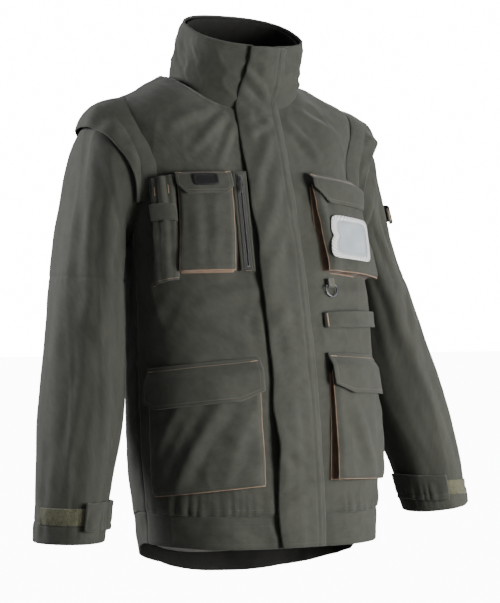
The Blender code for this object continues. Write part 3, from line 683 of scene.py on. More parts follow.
# ---------------------------------------------------------------- materials
class Shader:
    """A material under construction."""

    def __init__(self, name):
        self.material = bpy.data.materials.new(name)
        self.material.use_nodes = True
        self.tree = self.material.node_tree
        self.principled = self.tree.nodes["Principled BSDF"]
        self.coords = self.add("ShaderNodeTexCoord").outputs["UV"]

    def add(self, kind, inputs=(), **settings):
        node = self.tree.nodes.new(kind)
        for key, value in settings.items():
            setattr(node, key, value)
        for key, value in dict(inputs).items():
            if isinstance(value, bpy.types.NodeSocket):
                self.tree.links.new(value, node.inputs[key])
            else:
                node.inputs[key].default_value = value
        return node

    def turned(self, degrees):
        """The cloth's coordinates, turned."""
        inputs = {"Vector": self.coords, "Rotation": (0, 0, math.radians(degrees))}
        return self.add("ShaderNodeMapping", inputs).outputs["Vector"]

    def noise(self, size, detail=2.0, roughness=0.55):
        """Noise whose marks are about size metres across."""
        inputs = {"Vector": self.coords, "Scale": 1 / size, "Detail": detail, "Roughness": roughness}
        return self.add("ShaderNodeTexNoise", inputs).outputs["Fac"]

    def ribs(self, pitch, degrees, wander=0.0):
        """Fine parallel ribs with a pitch in metres."""
        inputs = {
            "Vector": self.turned(degrees),
            "Scale": 0.314 / pitch,
            "Distortion": wander,
            "Detail": 1.0,
            "Detail Scale": 0.5,
        }
        return self.add("ShaderNodeTexWave", inputs, wave_type="BANDS", bands_direction="X").outputs["Fac"]

    def spread(self, value, low, high, to_low=0.0, to_high=1.0):
        inputs = {"Value": value, "From Min": low, "From Max": high, "To Min": to_low, "To Max": to_high}
        return self.add("ShaderNodeMapRange", inputs).outputs["Result"]

    def maths(self, operation, a, b):
        return self.add("ShaderNodeMath", {0: a, 1: b}, operation=operation).outputs[0]

    def tone(self, value, dark, light, low=0.3, high=0.7):
        """A colour between dark and light, as value goes from low to high."""
        return self.mix(self.spread(value, low, high), opaque(dark), opaque(light))

    def mix(self, factor, a, b):
        node = self.add("ShaderNodeMix", data_type="RGBA")
        for index, value in ((0, factor), (6, a), (7, b)):
            if isinstance(value, bpy.types.NodeSocket):
                self.tree.links.new(value, node.inputs[index])
            else:
                node.inputs[index].default_value = value
        return node.outputs[2]

    def edge(self, reach):
        """1 at the cloth's border, falling to 0 at reach metres from it."""
        attribute = self.add("ShaderNodeAttribute", attribute_name="edge", attribute_type="GEOMETRY")
        return self.spread(attribute.outputs["Fac"], 0.0, reach, 1.0, 0.0)

    def finish(self, colour, roughness, height, depth, strength=0.6, **settings):
        bump = self.add("ShaderNodeBump", {"Height": height, "Distance": depth, "Strength": strength})
        self.tree.links.new(colour, self.principled.inputs["Base Color"])
        self.tree.links.new(roughness, self.principled.inputs["Roughness"])
        self.tree.links.new(bump.outputs["Normal"], self.principled.inputs["Normal"])
        for key, value in settings.items():
            self.principled.inputs[key].default_value = value
        return self.material


def opaque(colour):
    return (*colour, 1.0)


def twill(name, light, dark, sheen=0.12, wear=0.07):
    """Brushed cotton twill: diagonal ribs, uneven dye, fine crumpling, and wear along the edges."""
    shader = Shader(name)
    ribs = shader.ribs(0.0011, 52, 0.4)
    yarn = shader.ribs(0.00088, -20, 0.8)
    dye = shader.noise(0.055, 3)
    fade = shader.noise(0.011, 4)
    slub = shader.noise(0.0016, 2)
    crumple = shader.noise(0.016, 3, 0.6)
    colour = shader.tone(shader.maths("ADD", dye, fade), dark, light, 0.75, 1.25)
    thread = shader.spread(shader.maths("ADD", ribs, slub), 0.4, 1.5, 0.55, 0.0)
    colour = shader.mix(thread, colour, opaque([0.55 * c for c in dark]))
    worn = shader.maths("MULTIPLY", shader.edge(0.0022), shader.spread(fade, 0.35, 0.65, 0.2, 1.0))
    rubbed = opaque([min(1.9 * c, 1) for c in light])
    colour = shader.mix(shader.maths("MULTIPLY", worn, wear), colour, rubbed)
    roughness = shader.spread(slub, 0.3, 0.7, 0.72, 0.95)
    weave = shader.maths("ADD", ribs, shader.maths("MULTIPLY", yarn, 0.6))
    crumpled = shader.maths("MULTIPLY", crumple, 1.3)
    height = shader.maths("ADD", shader.maths("MULTIPLY", weave, 0.35), crumpled)
    gloss = {"Sheen Weight": sheen, "Sheen Roughness": 0.5, "Specular IOR Level": 0.25}
    return shader.finish(colour, roughness, height, 0.00035, **gloss)


def nylon(name, light, dark):
    """Lining nylon: smooth, slightly shiny, finely crumpled."""
    shader = Shader(name)
    weave = shader.maths("ADD", shader.ribs(0.0007, 0, 0.2), shader.ribs(0.0007, 90, 0.2))
    crumple = shader.noise(0.008, 4)
    colour = shader.tone(crumple, dark, light)
    crumpled = shader.maths("MULTIPLY", crumple, 2.0)
    height = shader.maths("ADD", shader.maths("MULTIPLY", weave, 0.15), crumpled)
    roughness = shader.spread(shader.noise(0.02, 2), 0.3, 0.7, 0.42, 0.62)
    return shader.finish(colour, roughness, height, 0.0006, **{"Sheen Weight": 0.15})


def thread(name, light, dark):
    """Sewing thread: twisted, with a soft gloss."""
    shader = Shader(name)
    fibre = shader.noise(0.0008, 3)
    colour = shader.tone(fibre, dark, light)
    roughness = shader.spread(fibre, 0.3, 0.7, 0.55, 0.75)
    return shader.finish(colour, roughness, shader.ribs(0.0006, 35), 0.0002, **{"Sheen Weight": 0.2})


def metal(name, light, dark, smooth=0.25, rough=0.45):
    """Plated zinc with handling marks."""
    shader = Shader(name)
    cloud = shader.noise(0.004, 4)
    scratch = shader.ribs(0.0005, 12, 3.0)
    colour = shader.tone(cloud, dark, light)
    roughness = shader.spread(shader.noise(0.0015, 3), 0.3, 0.7, smooth, rough)
    height = shader.maths("ADD", scratch, cloud)
    return shader.finish(colour, roughness, height, 0.00005, 0.4, **{"Metallic": 0.95})


def rubber(name, light, dark):
    """Moulded rubber with a fine matt grain."""
    shader = Shader(name)
    grain = shader.noise(0.0007, 3)
    cloud = shader.noise(0.006, 3)
    colour = shader.tone(cloud, dark, light)
    roughness = shader.spread(grain, 0.3, 0.7, 0.42, 0.62)
    return shader.finish(colour, roughness, grain, 0.00012, **{"Specular IOR Level": 0.2})


def clear_film(name):
    """Clear film over a pale card."""
    shader = Shader(name)
    cloud = shader.noise(0.03, 3)
    colour = shader.tone(cloud, (0.26, 0.30, 0.33), (0.36, 0.40, 0.43))
    roughness = shader.spread(cloud, 0.3, 0.7, 0.35, 0.50)
    return shader.finish(colour, roughness, cloud, 0.0003, 0.4, **{"Coat Weight": 0.3, "Coat Roughness": 0.3})


def ribbed_plastic(name):
    """A welded plastic border with slanting ribs."""
    shader = Shader(name)
    ribs = shader.ribs(0.0046, 45)
    colour = shader.tone(ribs, (0.36, 0.37, 0.37), (0.60, 0.61, 0.61), 0.25, 0.75)
    roughness = shader.spread(ribs, 0.2, 0.8, 0.45, 0.30)
    gloss = {"Coat Weight": 0.2, "Coat Roughness": 0.2}
    return shader.finish(colour, roughness, ribs, 0.0006, 0.8, **gloss)


def fastening_tape(name, light, dark, tuft, depth, sheen):
    """Hook or loop tape: tufts of thread on a woven ground."""
    shader = Shader(name)
    cells = {"Vector": shader.coords, "Scale": 1 / tuft, "Randomness": 0.9}
    tufts = shader.add("ShaderNodeTexVoronoi", cells).outputs["Distance"]
    fuzz = shader.noise(0.0011, 4, 0.7)
    patch = shader.noise(0.009, 3)
    mixed = shader.maths("ADD", shader.maths("MULTIPLY", fuzz, 0.7), shader.maths("MULTIPLY", patch, 0.5))
    colour = shader.tone(mixed, dark, light, 0.4, 0.8)
    height = shader.maths("ADD", tufts, fuzz)
    roughness = shader.spread(fuzz, 0.3, 0.7, 0.8, 1.0)
    gloss = {"Sheen Weight": sheen, "Sheen Roughness": 0.4}
    return shader.finish(colour, roughness, height, depth, 0.9, **gloss)


def woven_tape(name, light, dark, pitch):
    """Herringbone zip tape or ribbed webbing."""
    shader = Shader(name)
    ribs = shader.ribs(pitch, 90, 0.3)
    cross = shader.ribs(pitch * 0.6, 30, 0.2)
    slub = shader.noise(0.002, 3)
    colour = shader.tone(shader.maths("ADD", ribs, slub), dark, light, 0.5, 1.4)
    height = shader.maths("ADD", ribs, shader.maths("MULTIPLY", cross, 0.5))
    roughness = shader.spread(slub, 0.3, 0.7, 0.65, 0.85)
    return shader.finish(colour, roughness, height, 0.0003, **{"Sheen Weight": 0.15})


MATERIALS = {
    "olive": twill("olive_twill", (0.047, 0.049, 0.040), (0.032, 0.034, 0.027)),
    # the olive twill darkened to about a third for the cloth's inside faces: painted shade
    "olive_inside_painted_shade": twill("olive_twill_inside_painted_shade", (0.014, 0.014, 0.012), (0.009, 0.009, 0.008), 0.03, 0.05),
    "tan": twill("tan_twill", (0.27, 0.180, 0.120), (0.18, 0.115, 0.075)),
    # the tan twill darkened: painted shade for gussets turned away from the key light
    "tan_painted_shade": twill("tan_twill_painted_shade", (0.105, 0.068, 0.045), (0.060, 0.038, 0.026)),
    "quilt": nylon("lining_nylon", (0.120, 0.120, 0.108), (0.080, 0.080, 0.072)),
    "tan_thread": thread("tan_thread", (0.36, 0.25, 0.165), (0.22, 0.15, 0.10)),
    "dull_thread": thread("dull_thread", (0.17, 0.125, 0.090), (0.10, 0.075, 0.055)),
    "olive_thread": thread("olive_thread", (0.034, 0.034, 0.028), (0.018, 0.018, 0.015)),
    "metal": metal("dark_plated_metal", (0.16, 0.165, 0.18), (0.07, 0.07, 0.08)),
    "zip_metal": metal("zip_teeth_metal", (0.16, 0.16, 0.17), (0.09, 0.09, 0.09), 0.3, 0.5),
    "bright_metal": metal("bright_zip_metal", (0.20, 0.20, 0.20), (0.10, 0.10, 0.10), 0.30, 0.45),
    "rubber": rubber("badge_rubber", (0.008, 0.008, 0.009), (0.004, 0.004, 0.005)),
    "window": clear_film("clear_film"),
    "window_rim": ribbed_plastic("ribbed_window_rim"),
    "loop": fastening_tape("loop_tape", (0.110, 0.110, 0.064), (0.036, 0.037, 0.021), 0.0016, 0.0009, 0.15),
    "hook": fastening_tape("hook_tape", (0.055, 0.053, 0.048), (0.020, 0.020, 0.018), 0.0012, 0.0007, 0.2),
    "zip_tape": woven_tape("zip_tape", (0.024, 0.024, 0.022), (0.012, 0.012, 0.011), 0.0012),
    "webbing": woven_tape("olive_webbing", (0.060, 0.060, 0.046), (0.030, 0.031, 0.024), 0.0020),
}


# ---------------------------------------------------------------- body, lining and hem
NECK_FOLDS = (
    (-0.060, -0.052, -0.120, -0.105, 0.0060, 0.0040),
    (-0.075, -0.038, -0.150, -0.070, 0.0065, 0.0035),
    (-0.045, -0.066, -0.080, -0.125, 0.0055, 0.0032),
    (0.055, -0.056, 0.105, -0.110, 0.0060, 0.0038),
    (0.080, -0.040, 0.150, -0.075, 0.0065, 0.0030),
)
WAIST_FOLDS = (
    (-0.050, -0.325, -0.150, -0.352, 0.0110, 0.0030),
    (-0.060, -0.398, -0.160, -0.372, 0.0100, 0.0026),
    (-0.045, -0.420, -0.048, -0.360, 0.0070, 0.0020),
    (0.060, -0.340, 0.165, -0.330, 0.0100, 0.0026),
    (0.070, -0.405, 0.160, -0.420, 0.0100, 0.0024),
)


def shoulder_pad(x, z):
    """The padding that rounds the shoulders between neck and armhole."""
    thick = np.where(x < 0, 0.0115, 0.0035)
    return thick * smooth_step((z + 0.13) / 0.07) * hump(np.abs(x) - 0.13, 0.08)


def body_folds(points, level, front):
    """Height of the body cloth's folds: soft swells, neck and waist folds, and puckers along the hem seam."""
    x, z = points[..., 0], points[..., 2]
    swell = 0.0026 * waves(points * (1, 1, 0.35), 0.12, 11) + 0.0004 * waves(points, 0.035, 12)
    height = swell + 0.0007 * creases(points * (1, 1, 0.30), 0.085, 13) * 1.6 - 0.0014
    if front:
        height = height + fold_height(x, z, NECK_FOLDS + WAIST_FOLDS)
    above_hem = (level - HEM_SEAM) * 0.82
    puckers = np.abs(waves(points * (1, 1, 0.08), 0.020, 14))
    height = height + 0.0013 * puckers * hump(above_hem, 0.026) * (above_hem > 0)
    height = height - 0.0010 * hump(above_hem, 0.004) + shoulder_pad(x, z)
    height = height - 0.0024 * smooth_step((x - 0.13) / 0.04) * smooth_step((-0.28 - z) / 0.10)
    return height * smooth_step((1 - level) / 0.03)


def armhole_radius(points):
    """1 on the armhole's outline, less inside it."""
    ahead = (points[..., 1] - ARMHOLE["y"]) / ARMHOLE["half_y"]
    return np.hypot(ahead, (points[..., 2] - ARMHOLE["z"]) / ARMHOLE["half_z"])


def cut_armholes(mid):
    """Moves the points just inside an armhole onto its edge, and says which points stay."""
    radius = armhole_radius(mid)
    beside = np.abs(mid[..., 0]) > 0.12
    keep = ~(beside & (radius < 1))
    centre = np.array((ARMHOLE["y"], ARMHOLE["z"]))
    scale = np.where(beside & (radius < 1), 1 / np.maximum(radius, 0.2), 1)[..., None]
    moved = mid.copy()
    moved[..., 1:] = centre + (mid[..., 1:] - centre) * scale
    return moved, keep


def displaced(mid, height):
    """Moves a grid of points along its normals, away from the body, by height."""
    normal = grid_normals(mid, False)
    way = np.sign(dot(normal, radial(mid)).mean())
    return mid + normal * way * height[..., None]


def body_cloth(name, first, last, low, high, front):
    """A panel of the body between two angles and two levels."""
    s, t = grid(78 if front else 130, int(210 * (high - low)) + 4)
    level = lerp(high, low, t)
    angle = lerp(first(level), last(level), s)
    mid = body_at(angle, level)
    mid = displaced(mid, body_folds(mid, level, front))
    if not front and low == 0:
        mid[..., 2] -= np.interp(angle, *TAIL_DROPS) * (1 - level / HEM_SEAM)
    mid, keep = cut_armholes(mid)
    piece = Piece(name)
    # the inside faces get the darkened olive copy, which is painted shade
    return piece, piece.cloth(mid, SHELL, "olive", inside="olive_inside_painted_shade", keep=keep)


def constant(value):
    return lambda level: np.full(np.shape(level), float(value))


def make_body():
    low, high = HEM_SEAM + 0.001, 1.0
    for side, sign in SIDES.items():
        edge = lambda level, sign=sign: sign * edge_angle(level)
        seam = constant(sign * (90 - SEAM_ANGLE))
        piece, layers = body_cloth(f"front_{side}_cloth", edge, seam, low, high, True)
        stitch_line(piece, layers, [(0.02, 0.992), (0.99, 0.992)])
        piece.build_sheet("hung", ["quilted_lining"], nodes=[f"front_{side}_panel"], slot="shell_cloth")
        band, layers = body_cloth(f"hem_{side}_cloth", edge, seam, 0.0, HEM_SEAM - 0.001, True)
        stitch_line(band, layers, [(0.02, 0.30), (0.99, 0.30)])
        stitch_line(band, layers, [(0.02, 0.86), (0.99, 0.86)])
        nodes = [f"hem_band_front_{side}"]
        band.build_sheet("hung", [f"front_{side}_panel"], nodes=nodes, slot="shell_cloth")
    seams = constant(90 + SEAM_ANGLE), constant(270 - SEAM_ANGLE)
    piece, layers = body_cloth("back_cloth", *seams, low, high, False)
    piece.build_sheet("hung", ["quilted_lining"], nodes=["back_panel"], slot="shell_cloth")
    band, layers = body_cloth("hem_back_cloth", *seams, 0.0, HEM_SEAM - 0.001, False)
    stitch_line(band, layers, [(0.01, 0.86), (0.99, 0.86)])
    band.build_sheet("hung", ["back_panel"], nodes=["hem_band_back"], slot="shell_cloth")


def make_lining():
    """The quilted lining: puffed diamonds between sewn diagonal lines."""
    s, t = grid(260, 200)
    angle, level = lerp(8, 352, s), lerp(0.985, 0.02, t)
    mid = body_at(angle, level)
    round_body = np.radians(angle) * 0.17
    diamond = 0.062
    a = np.sin(math.pi * (round_body + mid[..., 2]) / diamond)
    b = np.sin(math.pi * (round_body - mid[..., 2]) / diamond)
    puff = np.sqrt(np.abs(a * b))
    mid = displaced(mid, -LINING_DEPTH - 0.0035 * puff + 0.0004 * waves(mid, 0.02, 31))
    mid, keep = cut_armholes(mid)
    piece = Piece("lining_quilt")
    piece.cloth(mid, LINING, "quilt", keep=keep)
    piece.build_sheet("hung", ["back_panel"], nodes=["quilted_lining"], slot="lining_cloth")


# ---------------------------------------------------------------- collar
# along the neck from the front's left side, and down from the top, in metres
COLLAR_FOLDS = (
    (0.395, 0.020, 0.430, 0.062, 0.0050, 0.0026),
    (0.400, 0.055, 0.440, 0.086, 0.0042, 0.0024),
    (0.440, 0.015, 0.470, 0.045, 0.0045, 0.0018),
    (0.050, 0.030, 0.095, 0.060, 0.0048, 0.0024),
    (0.060, 0.060, 0.100, 0.082, 0.0045, 0.0020),
    (0.110, 0.020, 0.150, 0.060, 0.0050, 0.0020),
)


def make_collar():
    start = 7.5
    s, t = grid(170, 34)
    angle = lerp(start, 360 - start, s)
    base = collar_at(angle, lerp(1.0, -0.01, t))
    fixed = smooth_step(t * 5) * smooth_step((1 - t) * 4)
    round_neck = np.radians(angle) * 0.09
    swells = 0.0016 * waves(stack(round_neck, t * 0.05, 0 * t), 0.060, 41)
    slanted = stack((round_neck - t * 0.030) * 0.5, t * 0.09, 0 * t)
    creased = 0.0022 * creases(slanted, 0.042, 42)
    folds = fold_height(round_neck, t * 0.1, COLLAR_FOLDS) - 0.0006
    mid = displaced(base, (swells + creased + 0.0008) * fixed + folds)
    piece = Piece("collar_cloth")
    # the inside face gets the darkened olive copy, which is painted shade
    layers = piece.cloth(mid, 0.0042, "olive", inside="olive_inside_painted_shade")
    stitch_line(piece, layers, [(0.01, 0.07), (0.99, 0.07)])
    stitch_line(piece, layers, [(0.01, 0.94), (0.99, 0.94)])
    piece.build_sheet("hung", ["front_right_panel"], nodes=["collar"], slot="shell_cloth")

    s, t = grid(130, 20)
    angle = lerp(start + 3, 357 - start, s)
    mid = collar_at(angle, lerp(0.955, 0.04, t), -0.0066)
    mid = displaced(mid, -0.0008 * np.abs(waves(mid * (1, 1, 0.4), 0.02, 43)) - 0.0004)
    lining = Piece("collar_lining_cloth")
    # the collar lining is the darkened olive copy, painted shade
    lining.cloth(mid, LINING, "olive_inside_painted_shade")
    lining.build_sheet("hung", ["collar"], nodes=["collar_lining"], slot="lining_cloth")


# ---------------------------------------------------------------- front zip and storm flap
def zip_teeth(piece, line, across, out, pitch, size):
    """A row of teeth along a line of points; across points away from the slot."""
    travelled, centres = even_steps(line, pitch)
    place = values_at(line, travelled, centres)
    wide, long, high = size
    axes = (unit(np.gradient(place, axis=0)), np.asarray(across), np.asarray(out))
    piece.blocks(place, axes, (long, wide), ((-high / 2, 1.0), (high / 2, 0.7)), "zip_metal")


def make_front_zip():
    for side, sign in SIDES.items():
        s, t = grid(8, 240)
        z = lerp(0.055, ZIP_FOOT, t)
        x = sign * lerp(TAPE_INNER, FRONT_EDGE - 0.0005, s)
        mid = stack(x, front_profile(z), z)
        piece = Piece(f"main_zip_{side}")
        piece.cloth(mid, 0.0013, "zip_tape")
        teeth = Piece(f"main_zip_teeth_{side}")
        foot = np.linspace(0.050, ZIP_FOOT + 0.004, 200)
        line = stack(np.full(200, sign * (TAPE_INNER - 0.0005)), front_profile(foot), foot)
        zip_teeth(teeth, line, (1.0, 0, 0), (0, -1.0, 0), 0.0030, (0.0030, 0.0014, 0.0024))
        teeth.build(slot="dark_metal")
        nodes = [f"main_zip_tape_{side}"]
        piece.build_sheet("stretched", [f"front_{side}_panel"], nodes=nodes, slot="zip_tape")
    foot_z = ZIP_FOOT - 0.0075
    tilt = math.atan2(float(front_arc(foot_z + 0.01) - front_arc(foot_z)), 0.01)
    box = Piece("main_zip_box")
    upright = np.array(Matrix.Rotation(tilt, 3, "X"))
    box.block((0, float(front_arc(foot_z)), foot_z), upright, (0.009, 0.004, 0.013), 0.0008, "metal")
    box.build(nodes=["main_zip_retainer_box"], slot="dark_metal")
    place = np.array((0, float(front_arc(THROAT)), THROAT))
    make_slider("main_zip", place, 0.0, "main_slider_body", "main_slider_body")


def make_slider(name, place, turn, body, pull_body, material="metal"):
    """A zip slider: two rounded plates joined by a post, a bridge over the front one, and a pierced pull."""
    slope = math.atan2(float(front_arc(place[2] + 0.01) - front_arc(place[2] - 0.01)), 0.02)
    level = np.array((math.sin(turn), -math.cos(turn), 0))
    upright = np.array((0, 0, 1.0))
    out = level * math.cos(slope) + upright * math.sin(slope)
    down = -upright * math.cos(slope) + level * math.sin(slope)
    aside = np.cross(down, out)
    axes = np.stack([aside, out, down])
    scale = 0.8 if name == "chest_zip" else 1.0
    slider = Piece(f"{name}_slider_body_metal")
    slider.block(place + out * 0.0023, axes, (0.0095 * scale, 0.0013, 0.013), 0.0006, material)
    slider.block(place - out * 0.0023, axes, (0.0095 * scale, 0.0013, 0.013), 0.0006, material)
    slider.block(place, axes, (0.0026 * scale, 0.0046, 0.005), 0.0003, material)
    slider.block(place + out * 0.0036, axes, (0.0018, 0.0018, 0.0062), 0.0006, material)
    slider.build(body=body, nodes=[f"{name}_slider"], slot="dark_metal")
    pull = Piece(f"{name}_pull_metal")
    top = place + out * 0.0054 + down * 0.002
    half = 0.0026 * scale
    turns = 2 * math.pi * np.linspace(0, 1, 48, endpoint=False)[:, None]
    loop = top + down * (0.0115 - 0.0112 * np.cos(turns)) + aside * (half * np.sin(turns))
    pull.tube(loop, 0.0007, material, closed=True)
    pull.block(top + down * 0.0165, axes, (0.0052 * scale, 0.0010, 0.0110), 0.0005, material)
    pull.build(body=pull_body, nodes=[f"{name}_pull"], slot="dark_metal")


STORM_FOLDS = (
    (-0.026, 0.040, 0.012, 0.028, 0.0050, 0.0022),
    (-0.034, 0.022, 0.020, -0.020, 0.0055, 0.0042),
    (-0.030, -0.012, 0.018, -0.044, 0.0060, 0.0036),
    (0.000, -0.050, 0.028, -0.062, 0.0050, 0.0036),
    (-0.020, -0.075, 0.024, -0.058, 0.0060, 0.0030),
    (-0.030, -0.165, 0.010, -0.085, 0.0080, 0.0030),
    (-0.022, -0.230, 0.022, -0.150, 0.0090, 0.0026),
    (-0.030, -0.300, 0.014, -0.235, 0.0090, 0.0020),
    (-0.033, -0.390, 0.012, -0.340, 0.0090, 0.0016),
    (-0.020, -0.470, 0.016, -0.455, 0.0080, 0.0018),
    (-0.028, -0.560, 0.014, -0.600, 0.0080, 0.0018),
    (-0.030, -0.655, 0.014, -0.640, 0.0080, 0.0022),
)


def make_storm_flap():
    foot, top = STORM_FLAP["foot"], STORM_FLAP["top"]
    s, t = grid(36, 260)
    z = lerp(top, foot, t)
    wander = 0.0012 * waves(stack(0 * z, 0 * z, z), 0.09, 50)
    free_x = STORM_FLAP["free_x"] + 0.014 * smooth_step((z + 0.01) / 0.07) + wander
    x = lerp(free_x, STORM_FLAP["sewn_x"], s)
    mid = storm_point(x, z, STORM_FLAP["lift"] + 0.0030 * hump(z + 0.026, 0.022) * (1 - s))
    free = smooth_step((0.012 - x) / 0.045)
    wavy = 0.0016 * waves(stack(0 * x, 0 * x, z), 0.11, 51) + 0.0012
    folds = fold_height(x, z, STORM_FOLDS) * smooth_step((0.030 - x) / 0.02)
    grooves = hump(x - STORM_SEAMS[0], 0.0016) + hump(x - STORM_SEAMS[1], 0.0016)
    sewn = -0.0014 * grooves - 0.0030 * smooth_step((x - STORM_SEAMS[1]) / 0.006)
    pad = 0.0016 * np.sin(math.pi * np.clip((x + 0.037) / 0.062, 0, 1)) ** 0.7
    height = free * wavy + folds + sewn + pad + 0.0006 * waves(mid * (1, 1, 0.6), 0.035, 52) - 0.0008
    mid = mid + stack(0 * x, -height, 0 * x)
    piece = Piece("storm_flap_cloth")
    layers = piece.cloth(mid, 0.0036, "olive")
    width = STORM_FLAP["sewn_x"] - STORM_FLAP["free_x"]
    inset = 0.0045 / width
    for line in STORM_SEAMS:
        share = (line - STORM_FLAP["free_x"]) / width
        stitch_line(piece, layers, [(share, 0.004), (share, 0.996)], width=0.0013)
    outline = [(0.80, 0.006), (inset, 0.006), (inset, 0.994), (0.80, 0.994)]
    stitch_line(piece, layers, outline)
    hinge_y = float(front_profile(np.array(-0.3))) - STORM_FLAP["lift"]
    start, end = (0.010, hinge_y, -0.3), (0.036, hinge_y, -0.3)
    piece.build_sheet(
        "hung", ["main_zip_tape_left"], nodes=["storm_flap", "storm_flap_stitched_edge"], slot="shell_cloth",
        blend=("storm_flap_body", "root", start, end),
    )


def make_storm_tapes():
    """The hook tape behind the storm flap's free side, and the loop tape it meets on the body."""
    s, t = grid(10, 180)
    x, z = lerp(-0.030, -0.014, s), lerp(-0.10, -0.66, t)
    for name, lift, body in (("hook", 0.0066, "storm_flap_body"), ("loop", 0.0036, "root")):
        tape = Piece(f"storm_{name}_tape")
        tape.cloth(storm_point(x, z, lift), 0.0011, name)
        placing = {"nodes": [f"storm_flap_{name}_tape"], "slot": f"{name}_tape", "body": body}
        tape.build_sheet("stretched", ["front_right_panel"], **placing)


# ---------------------------------------------------------------- pockets
def rounded_square(s, t):
    """1 in the middle of a patch, 0 along its sides and foot."""
    return (np.sin(math.pi * s) ** 0.5) * np.sin(math.pi * lerp(0.25, 1.0, t)) ** 0.5


POCKET_FOLDS = {
    "phone": (
        (0.30, 0.20, 0.38, 0.95, 0.10, 0.0016),
        (0.70, 0.30, 0.62, 0.98, 0.09, 0.0012),
    ),
    "id": (
        (0.04, 0.10, 0.06, 0.95, 0.05, 0.0030),
        (0.14, 0.30, 0.12, 1.0, 0.05, 0.0014),
    ),
    "lower_right": (
        (0.30, 0.25, 0.70, 0.92, 0.055, 0.0050),
        (0.10, 0.35, 0.30, 0.98, 0.05, 0.0026),
        (0.62, 0.20, 0.88, 0.60, 0.05, 0.0024),
    ),
    "lower_left": (
        (0.18, 0.30, 0.40, 0.95, 0.055, 0.0040),
        (0.75, 0.25, 0.60, 0.95, 0.06, 0.0030),
        (0.92, 0.20, 0.94, 0.90, 0.05, 0.0024),
    ),
}
# how far the front's two side edges lean in at the foot, as shares of its width
POCKET_LEAN = {
    "phone": (0.0, 0.0),
    "id": (0.04, 0.0),
    "lower_right": (0.0, 0.022),
    "lower_left": (0.02, -0.04),
}
# how much closer to the body the outer end lies than the solid shape, in metres
SINK = {"phone": 0.0, "id": 0.0, "lower_right": 0.0, "lower_left": 0.0055}
# shares of the solid shape's width that the cloth covers
POCKET_REACH = {"phone": 0.985, "id": 1.0, "lower_right": 1.0, "lower_left": 0.86}
FLAP_REACH = {"phone": 0.95, "id": 1.0, "lower_right": 0.985, "lower_left": 0.86}
# gusset cloth for each pocket: tan where the gusset faces the key light, and a darker copy of the tan
# (painted shade) where it is turned away
BELLOWS = {"phone": "tan", "id": "tan_painted_shade", "lower_right": "tan", "lower_left": "tan_painted_shade"}


def make_pocket(name, seed):
    columns, rows = (70, 60) if name in ("phone", "id") else (96, 72)
    s, t = grid(columns, rows)
    inner, outer = POCKET_LEAN[name]
    across = lerp(inner * t, POCKET_REACH[name] - outer * t, s)
    flat = pocket_at(name, across, t, pocket_depth(name, across, t))
    span = np.linalg.norm(flat[0, -1] - flat[0, 0])
    sides = np.minimum(s, 1 - s) * span
    curl = -0.0028 * hump(sides, 0.004) - 0.0022 * hump((1 - t) * 0.15, 0.004)
    height = 0.0022 * rounded_square(s, t) * lerp(1, 0.3, s) + curl + fold_height(s, t, POCKET_FOLDS[name])
    height = height - SINK[name] * s * s + 0.0005 * waves(flat, 0.040, seed)
    mid = displaced(flat, height + 0.0005 * creases(flat * (1, 1, 0.6), 0.07, seed + 1))
    piece = Piece(f"{name}_pocket_cloth")
    layers = piece.cloth(mid, CLOTH, "olive")
    inset, foot = 0.0048 / span, 1 - 0.0048 / 0.15
    outline = [(inset, 0.05), (inset, foot), (1 - inset, foot), (1 - inset, 0.05)]
    stitch_line(piece, layers, outline)
    border = shares_between(np.array([(0.0, 0.0), (0.0, 1.0), (1.0, 1.0), (1.0, 0.0)]), 70)
    piece.tube(sample(mid, *border), 0.0011, "tan")
    for place in ((inset * 1.5, 0.10), (1 - inset * 1.5, 0.10)):
        tack(piece, layers, place, (0.009, 0.0016), upright=True)
    piece.build_sheet("hung", [f"{name}_pocket_gusset"], nodes=[f"{name}_pocket_front"], slot="shell_cloth")
    make_gusset(name, mid, seed)


def make_gusset(name, front, seed):
    """The bellows side of a pocket: from the body cloth up to the pocket front's edge, folded inward."""
    border = shares_between(np.array([(0.0, 0.02), (0.0, 1.0), (1.0, 1.0), (1.0, 0.02)]), 80)
    rim = sample(front, *border)
    root = pocket_at(name, border[0] * POCKET_REACH[name], border[1], 0.0008)
    centre = rim.mean(axis=0)
    t = np.linspace(0, 1, 12)[:, None, None]
    inward = unit(centre - root)
    pleat = 0.0042 * np.sin(math.pi * t) * (0.8 + 0.3 * waves(root, 0.04, seed + 5))[None, :, None]
    mid = lerp(root, rim - inward * 0.0004, t) + inward * pleat
    piece = Piece(f"{name}_pocket_bellows")
    # on pockets turned away from the key light, the gusset's colour is painted shade
    piece.cloth(mid, 0.0010, BELLOWS[name], outward=-(inward + 0 * mid))
    piece.tube(root - inward * 0.0008, 0.0008, "tan")
    nodes = [f"{name}_pocket_gusset"]
    piece.build_sheet("gathered", ["front_right_panel"], nodes=nodes, slot="contrast_cloth")


